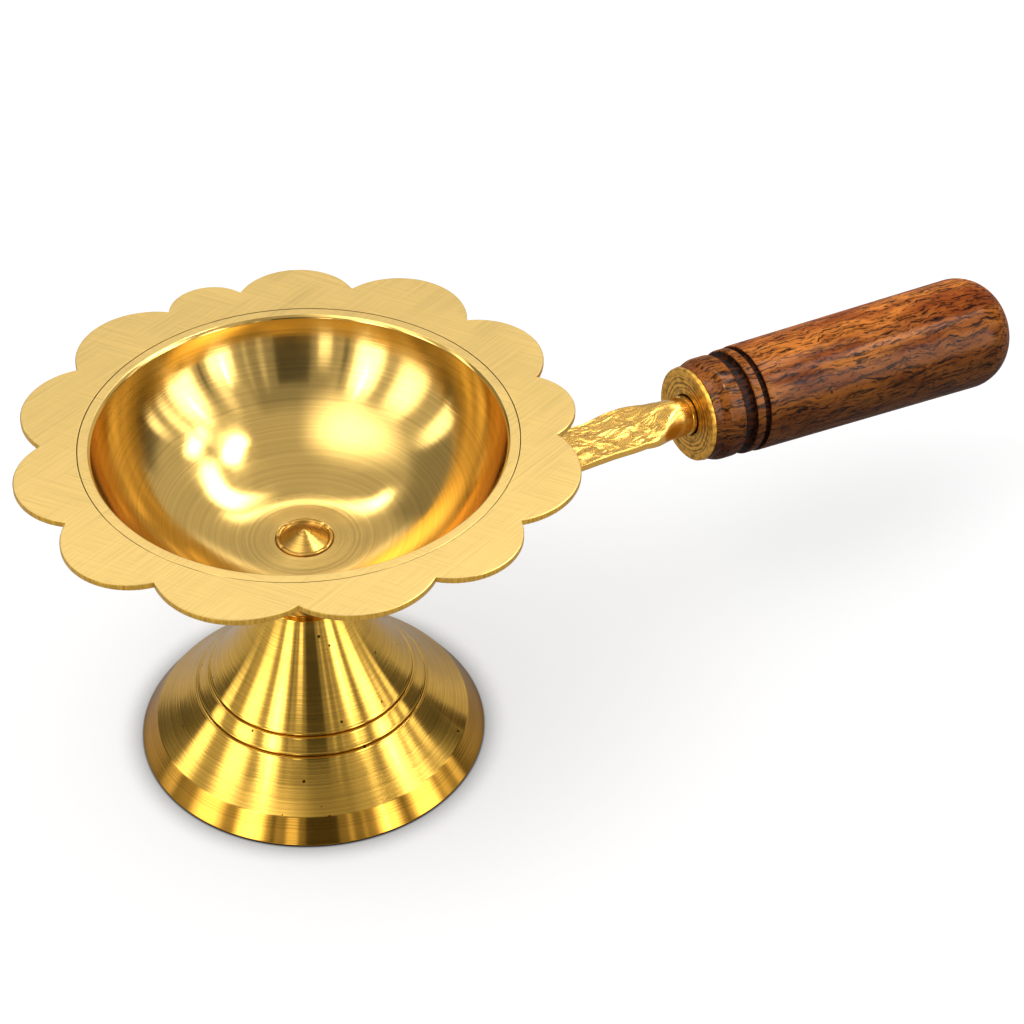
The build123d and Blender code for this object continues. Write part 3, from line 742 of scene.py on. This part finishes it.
def ring_place(tree, place):
    """Distance from the lamp's axis and height, the coordinates of marks that run round it."""
    flat = add_node(tree, "VectorMath", {0: place, 1: (1, 1, 0)}, operation="MULTIPLY")
    radius = add_node(tree, "VectorMath", {0: flat}, operation="LENGTH").outputs["Value"]
    height = add_node(tree, "SeparateXYZ", {0: place}).outputs[2]
    return add_node(tree, "CombineXYZ", {0: radius, 1: height})


def turned_brass(name, colours, colour, line, roughness, pits, streak=0.9):
    """Cast brass finished on a lathe and buffed: the tool's circles blur reflections along the profile and leave
    them crisp round the axis, so light stands in streaks from neck to foot. A few casting pits show as specks."""
    made, tree, place = new_finish(name)
    section = ring_place(tree, place)
    lines = add_node(tree, "TexNoise", {"Vector": section, "Scale": 1 / line, "Detail": 2}, noise_dimensions="2D")
    bands = add_node(tree, "TexNoise", {"Vector": section, "Scale": 1 / (4 * MM), "Detail": 3}, noise_dimensions="2D")
    clouds = add_node(tree, "TexNoise", {"Vector": place, "Scale": 1 / (14 * MM), "Detail": 3})
    # pits 0.32 mm in radius, some of those in cells of 4 mm
    cells = add_node(tree, "TexVoronoi", {"Vector": place, "Scale": 1 / (4 * MM)})
    speck = add_node(tree, "Math", {0: cells, 1: 0.32 / 4}, operation="LESS_THAN")
    chosen = add_node(tree, "Math", {0: cells.outputs["Color"], 1: pits}, operation="LESS_THAN")
    pit = add_node(tree, "Math", {0: speck, 1: chosen}, operation="MULTIPLY")
    tone = add_node(tree, "MapRange", {0: lines, 1: 0.35, 2: 0.75, 3: 0.0, 4: 0.26})
    cloud = add_node(tree, "MapRange", {0: clouds, 1: 0.5, 2: 0.8, 3: 0.0, 4: 0.2})
    stain = add_node(tree, "Math", {0: tone, 1: cloud}, operation="ADD")
    stained = add_node(tree, "Math", {0: stain, 1: pit}, operation="MAXIMUM")
    matt = add_node(tree, "MapRange", {0: bands, 1: 0.3, 2: 0.7, 3: roughness[0], 4: roughness[1]})
    sunk = add_node(tree, "Math", {0: pit, 1: -6, 2: lines}, operation="MULTIPLY_ADD")
    relief = add_node(tree, "Bump", {"Strength": 1, "Distance": 0.016 * MM, "Height": sunk})
    brass(tree, colours, colour, stained, matt, relief, streak)
    return made


def tarnished_brass(name, colours, line):
    """Brass that no buff reaches, in a scored line, a seam or a gap: brown and dull."""
    return turned_brass(name, colours, colours.tarnish, line, (0.3, 0.4), 0.0)


def polished_brass(colours, line):
    """Spun brass polished inside: bright and smeared in places, with the polisher's fine circles."""
    made, tree, place = new_finish("polished_spun_brass")
    section = ring_place(tree, place)
    lines = add_node(tree, "TexNoise", {"Vector": section, "Scale": 0.8 / line, "Detail": 3}, noise_dimensions="2D")
    clouds = add_node(tree, "TexNoise", {"Vector": place, "Scale": 1 / (9 * MM), "Detail": 4})
    tone = add_node(tree, "MapRange", {0: lines, 1: 0.4, 2: 0.8, 3: 0.0, 4: 0.2})
    matt = add_node(tree, "MapRange", {0: clouds, 1: 0.35, 2: 0.7, 3: 0.09, 4: 0.18})
    relief = add_node(tree, "Bump", {"Strength": 1, "Distance": 0.006 * MM, "Height": lines})
    brass(tree, colours, colours.polished, tone, matt, relief, 0.7)
    return made


def satin_brass(name, colours, mark):
    """Sheet brass rubbed with an abrasive pad: pale and even, with straight fine marks that cross in patches."""
    made, tree, place = new_finish(name)
    strokes = []
    for turn, length in ((0.35, 22), (-0.95, 14)):
        links = {0: place, "Rotation": (0, 0, turn), "Scale": (length * MM, mark, mark)}
        way = add_node(tree, "Mapping", links, vector_type="TEXTURE")
        strokes.append(add_node(tree, "TexNoise", {"Vector": way, "Scale": 1, "Detail": 3}))
    clouds = add_node(tree, "TexNoise", {"Vector": place, "Scale": 1 / (11 * MM), "Detail": 3})
    where = add_node(tree, "MapRange", {0: clouds, 1: 0.42, 2: 0.62, 3: 0.0, 4: 1.0})
    marks = add_node(tree, "Mix", {0: where, 2: strokes[0], 3: strokes[1]})
    tone = add_node(tree, "MapRange", {0: marks, 1: 0.4, 2: 0.75, 3: 0.0, 4: 0.22})
    matt = add_node(tree, "MapRange", {0: clouds, 1: 0.35, 2: 0.7, 3: 0.3, 4: 0.38})
    relief = add_node(tree, "Bump", {"Strength": 1, "Distance": 0.02 * MM, "Height": marks})
    brass(tree, colours, colours.satin, tone, matt, relief)
    return made


def filed_brass(colours):
    """Sawn edge cleaned with a file: darker than the face, with upright file marks."""
    made, tree, place = new_finish("filed_brass_edge")
    stretch = add_node(tree, "VectorMath", {0: place, 1: (1, 1, 0.12)}, operation="MULTIPLY")
    marks = add_node(tree, "TexNoise", {"Vector": stretch, "Scale": 1 / (0.5 * MM), "Detail": 3})
    tone = add_node(tree, "MapRange", {0: marks, 1: 0.35, 2: 0.7, 3: 0.05, 4: 0.45})
    relief = add_node(tree, "Bump", {"Strength": 1, "Distance": 0.03 * MM, "Height": marks})
    brass(tree, colours, colours.turned, tone, 0.34, relief)
    return made


def hammered_brass(name, colours, depth, crevice):
    """Rod brass beaten flat: a wrinkled bright skin whose folds run along the arm, with brown scale in the deepest
    ones. The wrinkles end where the neck was turned. Without depth it is the plain drawn rod."""
    made, tree, place = new_finish(name)
    stretch = add_node(tree, "VectorMath", {0: place, 1: (0.55, 1, 1)}, operation="MULTIPLY")
    folds = add_node(
        tree, "TexNoise", {"Vector": stretch, "Scale": 1 / (2.3 * MM), "Detail": 1.6, "Distortion": 1.3}
    )
    grit = add_node(tree, "TexNoise", {"Vector": stretch, "Scale": 1 / (0.8 * MM), "Detail": 2})
    along = add_node(tree, "SeparateXYZ", {0: place})
    links = {0: along.outputs[0], 1: SCALE_THIN * MM, 2: NECK_SMOOTH * MM, 3: 1.0, 4: 0.0}
    beaten = add_node(tree, "MapRange", links)
    links = {0: along.outputs[0], 1: SCALE_FULL * MM, 2: SCALE_THIN * MM, 3: crevice, 4: 0.25 * crevice}
    scale = add_node(tree, "MapRange", links)
    tone = add_node(tree, "MapRange", {0: folds, 1: 0.42, 2: 0.34, 3: 0.0, 4: 1.0})
    dirt = add_node(tree, "MapRange", {0: grit, 1: 0.5, 2: 0.7, 3: 0.0, 4: 0.5})
    both = add_node(tree, "Math", {0: tone, 1: dirt}, operation="ADD", use_clamp=True)
    stain = add_node(tree, "Math", {0: both, 1: scale}, operation="MULTIPLY")
    matt = add_node(tree, "MapRange", {0: folds, 1: 0.35, 2: 0.65, 3: 0.26, 4: 0.16})
    relief = add_node(tree, "Bump", {"Strength": beaten, "Distance": depth * MM, "Height": folds})
    brass(tree, colours, colours.hammered, stain, matt, relief)
    return made


def handle_place(tree, place):
    """Object coordinates turned to the handle: x runs along it from the ferrule's front face, in metres."""
    return add_node(
        tree,
        "Mapping",
        {0: place, "Location": tuple(HANDLE_ORIGIN * MM), "Rotation": (0, DROOP, 0)},
        vector_type="TEXTURE",
    )


def dull_brass(colours):
    """Disc cut from sheet and never polished: dark and dull, scratched in rings where the grip turns."""
    made, tree, place = new_finish("dull_scratched_brass")
    own = handle_place(tree, place)
    flat = add_node(tree, "VectorMath", {0: own, 1: (0, 1, 1)}, operation="MULTIPLY")
    radius = add_node(tree, "VectorMath", {0: flat}, operation="LENGTH")
    warp = add_node(tree, "TexNoise", {"Vector": place, "Scale": 1 / (3 * MM), "Detail": 2})
    bent = add_node(tree, "Math", {0: warp, 1: 0.7 * MM, 2: radius.outputs["Value"]}, operation="MULTIPLY_ADD")
    rings = add_node(tree, "TexNoise", {"W": bent, "Scale": 1 / (0.5 * MM), "Detail": 3}, noise_dimensions="1D")
    grit = add_node(tree, "TexNoise", {"Vector": place, "Scale": 1 / (1.2 * MM), "Detail": 4})
    both = add_node(tree, "Math", {0: rings, 1: grit}, operation="MULTIPLY")
    tone = add_node(tree, "MapRange", {0: both, 1: 0.15, 2: 0.31, 3: 0.75, 4: 0.0})
    relief = add_node(tree, "Bump", {"Strength": 1, "Distance": 0.12 * MM, "Height": both})
    brass(tree, colours, colours.dull, tone, 0.42, relief)
    return made


def rosewood(colours, grain):
    """Rosewood turned, sanded and lacquered: wavy dark fibres and short pores run along the grip in a red-brown
    ground with orange figure, under a clear gloss that follows the fibres a little."""
    made, tree, place = new_finish("lacquered_rosewood")
    own = handle_place(tree, place)
    swirl = add_node(tree, "TexNoise", {"Vector": own, "Scale": 1 / (6 * MM), "Detail": 2})
    off = add_node(tree, "VectorMath", {0: swirl.outputs["Color"], 1: (0.5, 0.5, 0.5)}, operation="SUBTRACT")
    warped = add_node(tree, "VectorMath", {0: off, 1: (3 * MM,) * 3, 2: own}, operation="MULTIPLY_ADD")
    # orange figure, dark fibres and pores: length along the grip in millimetres and count in a grain's width
    streaks = []
    for length, count, look in (
        (26, 0.2, {"Detail": 3, "Distortion": 0.8}),
        (7, 1.3, {"Detail": 5, "Roughness": 0.65, "Distortion": 0.7}),
        (2.4, 2, {"Detail": 2, "Distortion": 0.4}),
    ):
        stretch = (1 / (length * MM), count / grain, count / grain)
        way = add_node(tree, "VectorMath", {0: warped, 1: stretch}, operation="MULTIPLY")
        streaks.append(add_node(tree, "TexNoise", {"Vector": way, "Scale": 1, **look}))
    figures, fibres, pores = streaks
    lit = add_node(tree, "MapRange", {0: figures, 1: 0.36, 2: 0.64, 3: 0.0, 4: 1.0})
    dark = add_node(tree, "MapRange", {0: fibres, 1: 0.47, 2: 0.62, 3: 0.0, 4: 0.95})
    speck = add_node(tree, "MapRange", {0: pores, 1: 0.58, 2: 0.68, 3: 0.0, 4: 0.85})
    # painted shade on the lower side, away from light above and behind; also darker towards the nose
    side = add_node(tree, "VectorMath", {0: warped, 1: (0, 0.67, 0.74)}, operation="DOT_PRODUCT")
    lower_side_shade = add_node(tree, "MapRange", {0: side.outputs["Value"], 1: -8 * MM, 2: 10 * MM, 3: 0.66, 4: 0.0})
    along = add_node(tree, "SeparateXYZ", {0: own})
    nose = add_node(tree, "MapRange", {0: along.outputs[0], 1: 10 * MM, 2: 18 * MM, 3: 0.5, 4: 0.0})
    # brown holds the painted shade of the lower side and the darkening towards the nose
    brown = add_node(tree, "Math", {0: lower_side_shade, 1: nose}, operation="MAXIMUM")
    links = {0: lit, 6: rgba(colours.wood_middle), 7: rgba(colours.wood_light)}
    base = add_node(tree, "Mix", links, data_type="RGBA")
    for cover in (dark, speck, brown):
        links = {0: cover, 6: base.outputs[2], 7: rgba(colours.wood_dark)}
        base = add_node(tree, "Mix", links, data_type="RGBA")
    relief = add_node(tree, "Bump", {"Strength": 0.6, "Distance": 0.05 * MM, "Height": fibres})
    gloss = add_node(tree, "Bump", {"Strength": 1, "Distance": 0.03 * MM, "Height": fibres})
    shader = add_node(
        tree,
        "BsdfPrincipled",
        {
            "Base Color": base.outputs[2],
            "Roughness": 0.5,
            "Specular IOR Level": 0.0,
            "Normal": relief,
            "Coat Weight": 0.2,
            "Coat Roughness": 0.08,
            "Coat Normal": gloss,
        },
    )
    add_node(tree, "OutputMaterial", {0: shader})
    return made


def blackened_wood(colours):
    """Wood scorched by the turner's wire: nearly black, with a faint grain along the grip."""
    made, tree, place = new_finish("scorched_rosewood")
    own = handle_place(tree, place)
    stretch = add_node(tree, "VectorMath", {0: own, 1: (0.2, 1, 1)}, operation="MULTIPLY")
    grain = add_node(tree, "TexNoise", {"Vector": stretch, "Scale": 1 / (0.6 * MM), "Detail": 3})
    tone = add_node(tree, "MapRange", {0: grain, 1: 0.45, 2: 0.75, 3: 0.0, 4: 0.35})
    base = add_node(tree, "Mix", {0: tone, 6: rgba(colours.groove), 7: rgba(colours.wood_middle)}, data_type="RGBA")
    relief = add_node(tree, "Bump", {"Strength": 1, "Distance": 0.04 * MM, "Height": grain})
    links = {"Base Color": base.outputs[2], "Roughness": 0.4, "Specular IOR Level": 0.1, "Normal": relief}
    shader = add_node(tree, "BsdfPrincipled", links)
    add_node(tree, "OutputMaterial", {0: shader})
    return made


class LAMP_OT_pedestal(bpy.types.Operator):
    """Builds the turned pedestal."""

    bl_idname = "aarti_lamp.pedestal"
    bl_label = "Pedestal"

    def execute(self, context):
        sizes, colours = context.scene.lamp_sizes, context.scene.lamp_colours
        skin = pedestal_patch(sizes.edge_round / MM, sizes.score_depth / MM)
        finish = turned_brass("turned_cast_brass", colours, colours.turned, sizes.lathe_line, (0.12, 0.18), 0.55)
        score = tarnished_brass("tarnished_score", colours, sizes.lathe_line)
        # the bevel's darker brass is painted shade that tones down its bright reflections
        bevel = turned_brass("turned_foot_brass", colours, colours.foot, sizes.lathe_line, (0.12, 0.16), 0.3)
        piece("turned_pedestal", "pedestal", "lamp", [skin], [finish, score, bevel])
        return {"FINISHED"}


class LAMP_OT_bowl(bpy.types.Operator):
    """Builds the spun bowl with its lip."""

    bl_idname = "aarti_lamp.bowl"
    bl_label = "Bowl"

    def execute(self, context):
        sizes, colours = context.scene.lamp_sizes, context.scene.lamp_colours
        inside = polished_brass(colours, sizes.lathe_line)
        lip = satin_brass("satin_lip_brass", colours, sizes.brush_mark)
        piece("spun_bowl", "bowl", "lamp", [bowl_patch(sizes.edge_round / MM)], [inside, lip])
        return {"FINISHED"}


class LAMP_OT_rim(bpy.types.Operator):
    """Builds the sawn rim with its petals."""

    bl_idname = "aarti_lamp.rim"
    bl_label = "Scalloped rim"

    def execute(self, context):
        sizes, colours = context.scene.lamp_sizes, context.scene.lamp_colours
        satin = satin_brass("satin_sheet_brass", colours, sizes.brush_mark)
        seam = tarnished_brass("tarnished_seam", colours, sizes.lathe_line)
        finishes = [satin, filed_brass(colours), seam]
        piece("sawn_rim", "scalloped_rim", "lamp", [rim_patch(sizes.edge_round / MM)], finishes)
        return {"FINISHED"}


class LAMP_OT_fastening(bpy.types.Operator):
    """Builds the clamp screw with its washer and nut."""

    bl_idname = "aarti_lamp.fastening"
    bl_label = "Screw, washer and nut"

    def execute(self, context):
        sizes, colours = context.scene.lamp_sizes, context.scene.lamp_colours
        edge, pitch = sizes.edge_round / MM, sizes.thread_pitch / MM
        finish = turned_brass("turned_bar_brass", colours, colours.bar, sizes.lathe_line, (0.24, 0.32), 0.0, 0.4)
        piece("cone_head_screw", "clamp_screw", "lamp", [screw_patch(edge, pitch)], [finish], 40)
        piece("plain_washer", "clamp_washer", "lamp", [washer_patch(edge)], [finish])
        piece("hexagon_nut", "clamp_nut", "lamp", [nut_patch(pitch)], [finish])
        return {"FINISHED"}


class LAMP_OT_arm(bpy.types.Operator):
    """Builds the hammered arm with its threaded tang."""

    bl_idname = "aarti_lamp.arm"
    bl_label = "Arm"

    def execute(self, context):
        sizes, colours = context.scene.lamp_sizes, context.scene.lamp_colours
        skins = arm_patches(sizes.hammer_depth / MM, sizes.thread_pitch / MM)
        finishes = [
            hammered_brass("hammered_brass", colours, 0.42, 0.75),
            hammered_brass("drawn_brass", colours, 0.02, 0.25),
            tarnished_brass("tarnished_gap", colours, sizes.lathe_line),
        ]
        piece("hammered_arm", "handle_arm", "lamp", skins, finishes, 40)
        return {"FINISHED"}


class LAMP_OT_grip_fittings(bpy.types.Operator):
    """Builds the ferrule and the threaded sleeve of the grip."""

    bl_idname = "aarti_lamp.grip_fittings"
    bl_label = "Ferrule and sleeve"

    def execute(self, context):
        sizes, colours = context.scene.lamp_sizes, context.scene.lamp_colours
        bore = tarnished_brass("tarnished_bore", colours, sizes.lathe_line)
        piece("brass_ferrule", "ferrule", "ferrule", [ferrule_patch()], [dull_brass(colours), bore])
        sleeve = turned_brass("turned_sleeve_brass", colours, colours.turned, sizes.lathe_line, (0.2, 0.3), 0.0)
        skin = insert_patch(sizes.thread_pitch / MM)
        piece("threaded_sleeve", "thread_insert", "grip", [skin], [sleeve], 40)
        return {"FINISHED"}


class LAMP_OT_grip(bpy.types.Operator):
    """Builds the turned wooden grip."""

    bl_idname = "aarti_lamp.grip"
    bl_label = "Grip"

    def execute(self, context):
        sizes, colours = context.scene.lamp_sizes, context.scene.lamp_colours
        finishes = [rosewood(colours, sizes.grain_width), blackened_wood(colours)]
        piece("rosewood_grip", "grip", "grip", [grip_patch()], finishes)
        return {"FINISHED"}


def studio_card(name, west, east, low, high, brightness, distance, sides, ends, lights):
    """Card on a sphere round the lamp, (cos e cos a, cos e sin a, sin e), that fades out at its edges.

    Only a card that lights is seen by matt surfaces. Metal throws little of it at the floor, and less in its
    second reflection.
    """
    a = np.radians(np.linspace(west, east, CARD_COLUMNS))
    e = np.radians(np.linspace(low, high, CARD_ROWS))[:, None]
    around = np.stack(np.broadcast_arrays(np.cos(e) * np.cos(a), np.cos(e) * np.sin(a), np.sin(e)), axis=-1)
    points = around.reshape(-1, 3) * distance + np.array(CARD_MIDDLE)
    quads = grid_faces(np.arange(CARD_ROWS * CARD_COLUMNS).reshape(CARD_ROWS, CARD_COLUMNS)).reshape(-1, 4)
    fades = ((CARD_ROWS, ends), (CARD_COLUMNS, sides))
    inward = [np.clip((0.5 - np.abs(np.linspace(-0.5, 0.5, n))) / f, 0, 1) if f else np.ones(n) for n, f in fades]
    down, along = (t * t * (3 - 2 * t) for t in inward)
    mesh = bpy.data.meshes.new(name)
    mesh.from_pydata(points.tolist(), [], quads.tolist())
    mesh.attributes.new("cover", "FLOAT", "POINT").data.foreach_set("value", (down[:, None] * along).ravel())
    made = bpy.data.objects.new(name, mesh)
    bpy.context.scene.collection.objects.link(made)
    paint, tree, _ = new_finish(name)
    path = add_node(tree, "LightPath", {})
    links = {0: path.outputs["Ray Depth"], 1: 1, 2: 2, 3: brightness, 4: min(brightness, CARD_AGAIN)}
    again = add_node(tree, "MapRange", links)
    links = {0: path.outputs["Diffuse Depth"], 3: again, 4: min(brightness, CARD_THROWN)}
    level = add_node(tree, "MapRange", links)
    light = add_node(tree, "Emission", {"Strength": brightness if lights else level})
    cover = add_node(tree, "Attribute", {}, attribute_name="cover")
    clear = add_node(tree, "BsdfTransparent", {})
    add_node(tree, "OutputMaterial", {0: add_node(tree, "MixShader", {0: cover.outputs["Fac"], 1: clear, 2: light})})
    mesh.materials.append(paint)
    made.visible_camera = False
    made.visible_shadow = False
    made.visible_diffuse = lights


def lay_floor(studio):
    """White floor with painted shade at the foot: white to the camera, pale grey to metal and dark to matt things."""
    paint, tree, _ = new_finish("white_floor")
    path = add_node(tree, "LightPath", {})
    seen = path.outputs["Is Camera Ray"]
    # painted contact shadow: ambient occlusion darkens the floor's colour and glow near the foot
    corner = add_node(tree, "AmbientOcclusion", {"Distance": CONTACT_SHADOW_REACH * MM}, samples=12, only_local=False)
    shade = add_node(tree, "Math", {0: corner.outputs["AO"], 1: CONTACT_SHADOW_POWER}, operation="POWER")
    links = {0: path.outputs["Is Glossy Ray"], 1: FLOOR_METAL, 2: FLOOR_MATT}
    mirrored = add_node(tree, "Math", links, operation="MULTIPLY_ADD")
    share = add_node(tree, "Math", {0: seen, 1: FLOOR_CAMERA, 2: mirrored}, operation="MULTIPLY_ADD")
    level = add_node(tree, "Math", {0: shade, 1: share}, operation="MULTIPLY")
    colour = add_node(tree, "VectorMath", {0: tuple(studio.floor), "Scale": level}, operation="SCALE")
    glow = add_node(tree, "Math", {0: seen, 1: studio.floor_glow}, operation="MULTIPLY")
    shine = add_node(tree, "Math", {0: glow, 1: shade}, operation="MULTIPLY")
    matt = add_node(tree, "BsdfDiffuse", {"Color": colour})
    light = add_node(tree, "Emission", {"Strength": shine})
    add_node(tree, "OutputMaterial", {0: add_node(tree, "AddShader", {0: matt, 1: light})})
    mesh = bpy.data.meshes.new("floor")
    corners = [(x * FLOOR_HALF, y * FLOOR_HALF, 0) for x, y in ((-1, -1), (1, -1), (1, 1), (-1, 1))]
    mesh.from_pydata(corners, [], [(0, 1, 2, 3)])
    mesh.materials.append(paint)
    made = bpy.data.objects.new("floor", mesh)
    bpy.context.scene.collection.objects.link(made)


def light_room(studio):
    """White room to the camera and in reflections. Matt surfaces get more light from above than from the sides."""
    world = bpy.data.worlds.new("white_room")
    world.use_nodes = True
    tree = world.node_tree
    tree.nodes.clear()
    path = add_node(tree, "LightPath", {})
    links = {0: path.outputs["Is Glossy Ray"], 1: path.outputs["Is Transmission Ray"]}
    mirrored = add_node(tree, "Math", links, operation="MAXIMUM")
    seen = add_node(tree, "Math", {0: path.outputs["Is Camera Ray"], 1: mirrored}, operation="MAXIMUM")
    way = add_node(tree, "SeparateXYZ", {0: add_node(tree, "TexCoord", {}).outputs["Generated"]})
    links = {0: way.outputs[2], 3: SIDE_LIGHT * studio.daylight, 4: TOP_LIGHT * studio.daylight}
    above = add_node(tree, "MapRange", links)
    level = add_node(tree, "MapRange", {0: seen, 3: above, 4: 1.0})
    sky = add_node(tree, "Background", {"Color": (1, 1, 1, 1), "Strength": level})
    add_node(tree, "OutputWorld", {0: sky})
    bpy.context.scene.world = world


def set_camera(studio):
    """Camera at the photograph's viewpoint."""
    lens = bpy.data.cameras.new("camera")
    lens.lens, lens.sensor_width = studio.lens, 36
    lens.clip_start, lens.clip_end = 0.01, 20
    made = bpy.data.objects.new("camera", lens)
    made.location = np.array(CAMERA_PLACE) * MM
    made.rotation_euler = np.radians(CAMERA_TURN)
    bpy.context.scene.collection.objects.link(made)
    bpy.context.scene.camera = made


class LAMP_OT_studio(bpy.types.Operator):
    """Lays the floor, lights the room and sets the camera."""

    bl_idname = "aarti_lamp.studio"
    bl_label = "Studio"

    def execute(self, context):
        studio = context.scene.lamp_studio
        for name, card in SOFTBOXES.items():
            studio_card(name, *card, lights=True)
        for name, card in REFLECTORS.items():
            studio_card(name, *card, lights=False)
        lay_floor(studio)
        light_room(studio)
        set_camera(studio)
        context.scene.view_settings.view_transform = "Standard"
        return {"FINISHED"}


class LAMP_PT_panel(bpy.types.Panel):
    """Sizes, colours and pieces of the lamp."""

    bl_idname = "LAMP_PT_panel"
    bl_label = "Aarti lamp"
    bl_space_type = "VIEW_3D"
    bl_region_type = "UI"
    bl_category = "Aarti lamp"

    def draw(self, context):
        for group in (context.scene.lamp_sizes, context.scene.lamp_colours, context.scene.lamp_studio):
            box = self.layout.box()
            for key in group.bl_rna.properties.keys():
                if key not in ("rna_type", "name"):
                    box.prop(group, key)
        for operator in OPERATORS:
            self.layout.operator(operator.bl_idname)


GROUPS = {"lamp_sizes": LampSizes, "lamp_colours": LampColours, "lamp_studio": LampStudio}
OPERATORS = (
    LAMP_OT_pedestal,
    LAMP_OT_bowl,
    LAMP_OT_rim,
    LAMP_OT_fastening,
    LAMP_OT_arm,
    LAMP_OT_grip_fittings,
    LAMP_OT_grip,
    LAMP_OT_studio,
)


def register():
    for kind in (*GROUPS.values(), *OPERATORS, LAMP_PT_panel):
        bpy.utils.register_class(kind)
    for name, group in GROUPS.items():
        setattr(bpy.types.Scene, name, PointerProperty(type=group))


def unregister():
    for name in GROUPS:
        delattr(bpy.types.Scene, name)
    for kind in reversed((*GROUPS.values(), *OPERATORS, LAMP_PT_panel)):
        bpy.utils.unregister_class(kind)


def main():
    register()
    bpy.ops.aarti_lamp.pedestal()
    bpy.ops.aarti_lamp.bowl()
    bpy.ops.aarti_lamp.rim()
    bpy.ops.aarti_lamp.fastening()
    bpy.ops.aarti_lamp.arm()
    bpy.ops.aarti_lamp.grip_fittings()
    bpy.ops.aarti_lamp.grip()
    bpy.ops.aarti_lamp.studio()


if __name__ == "__main__":
    main()
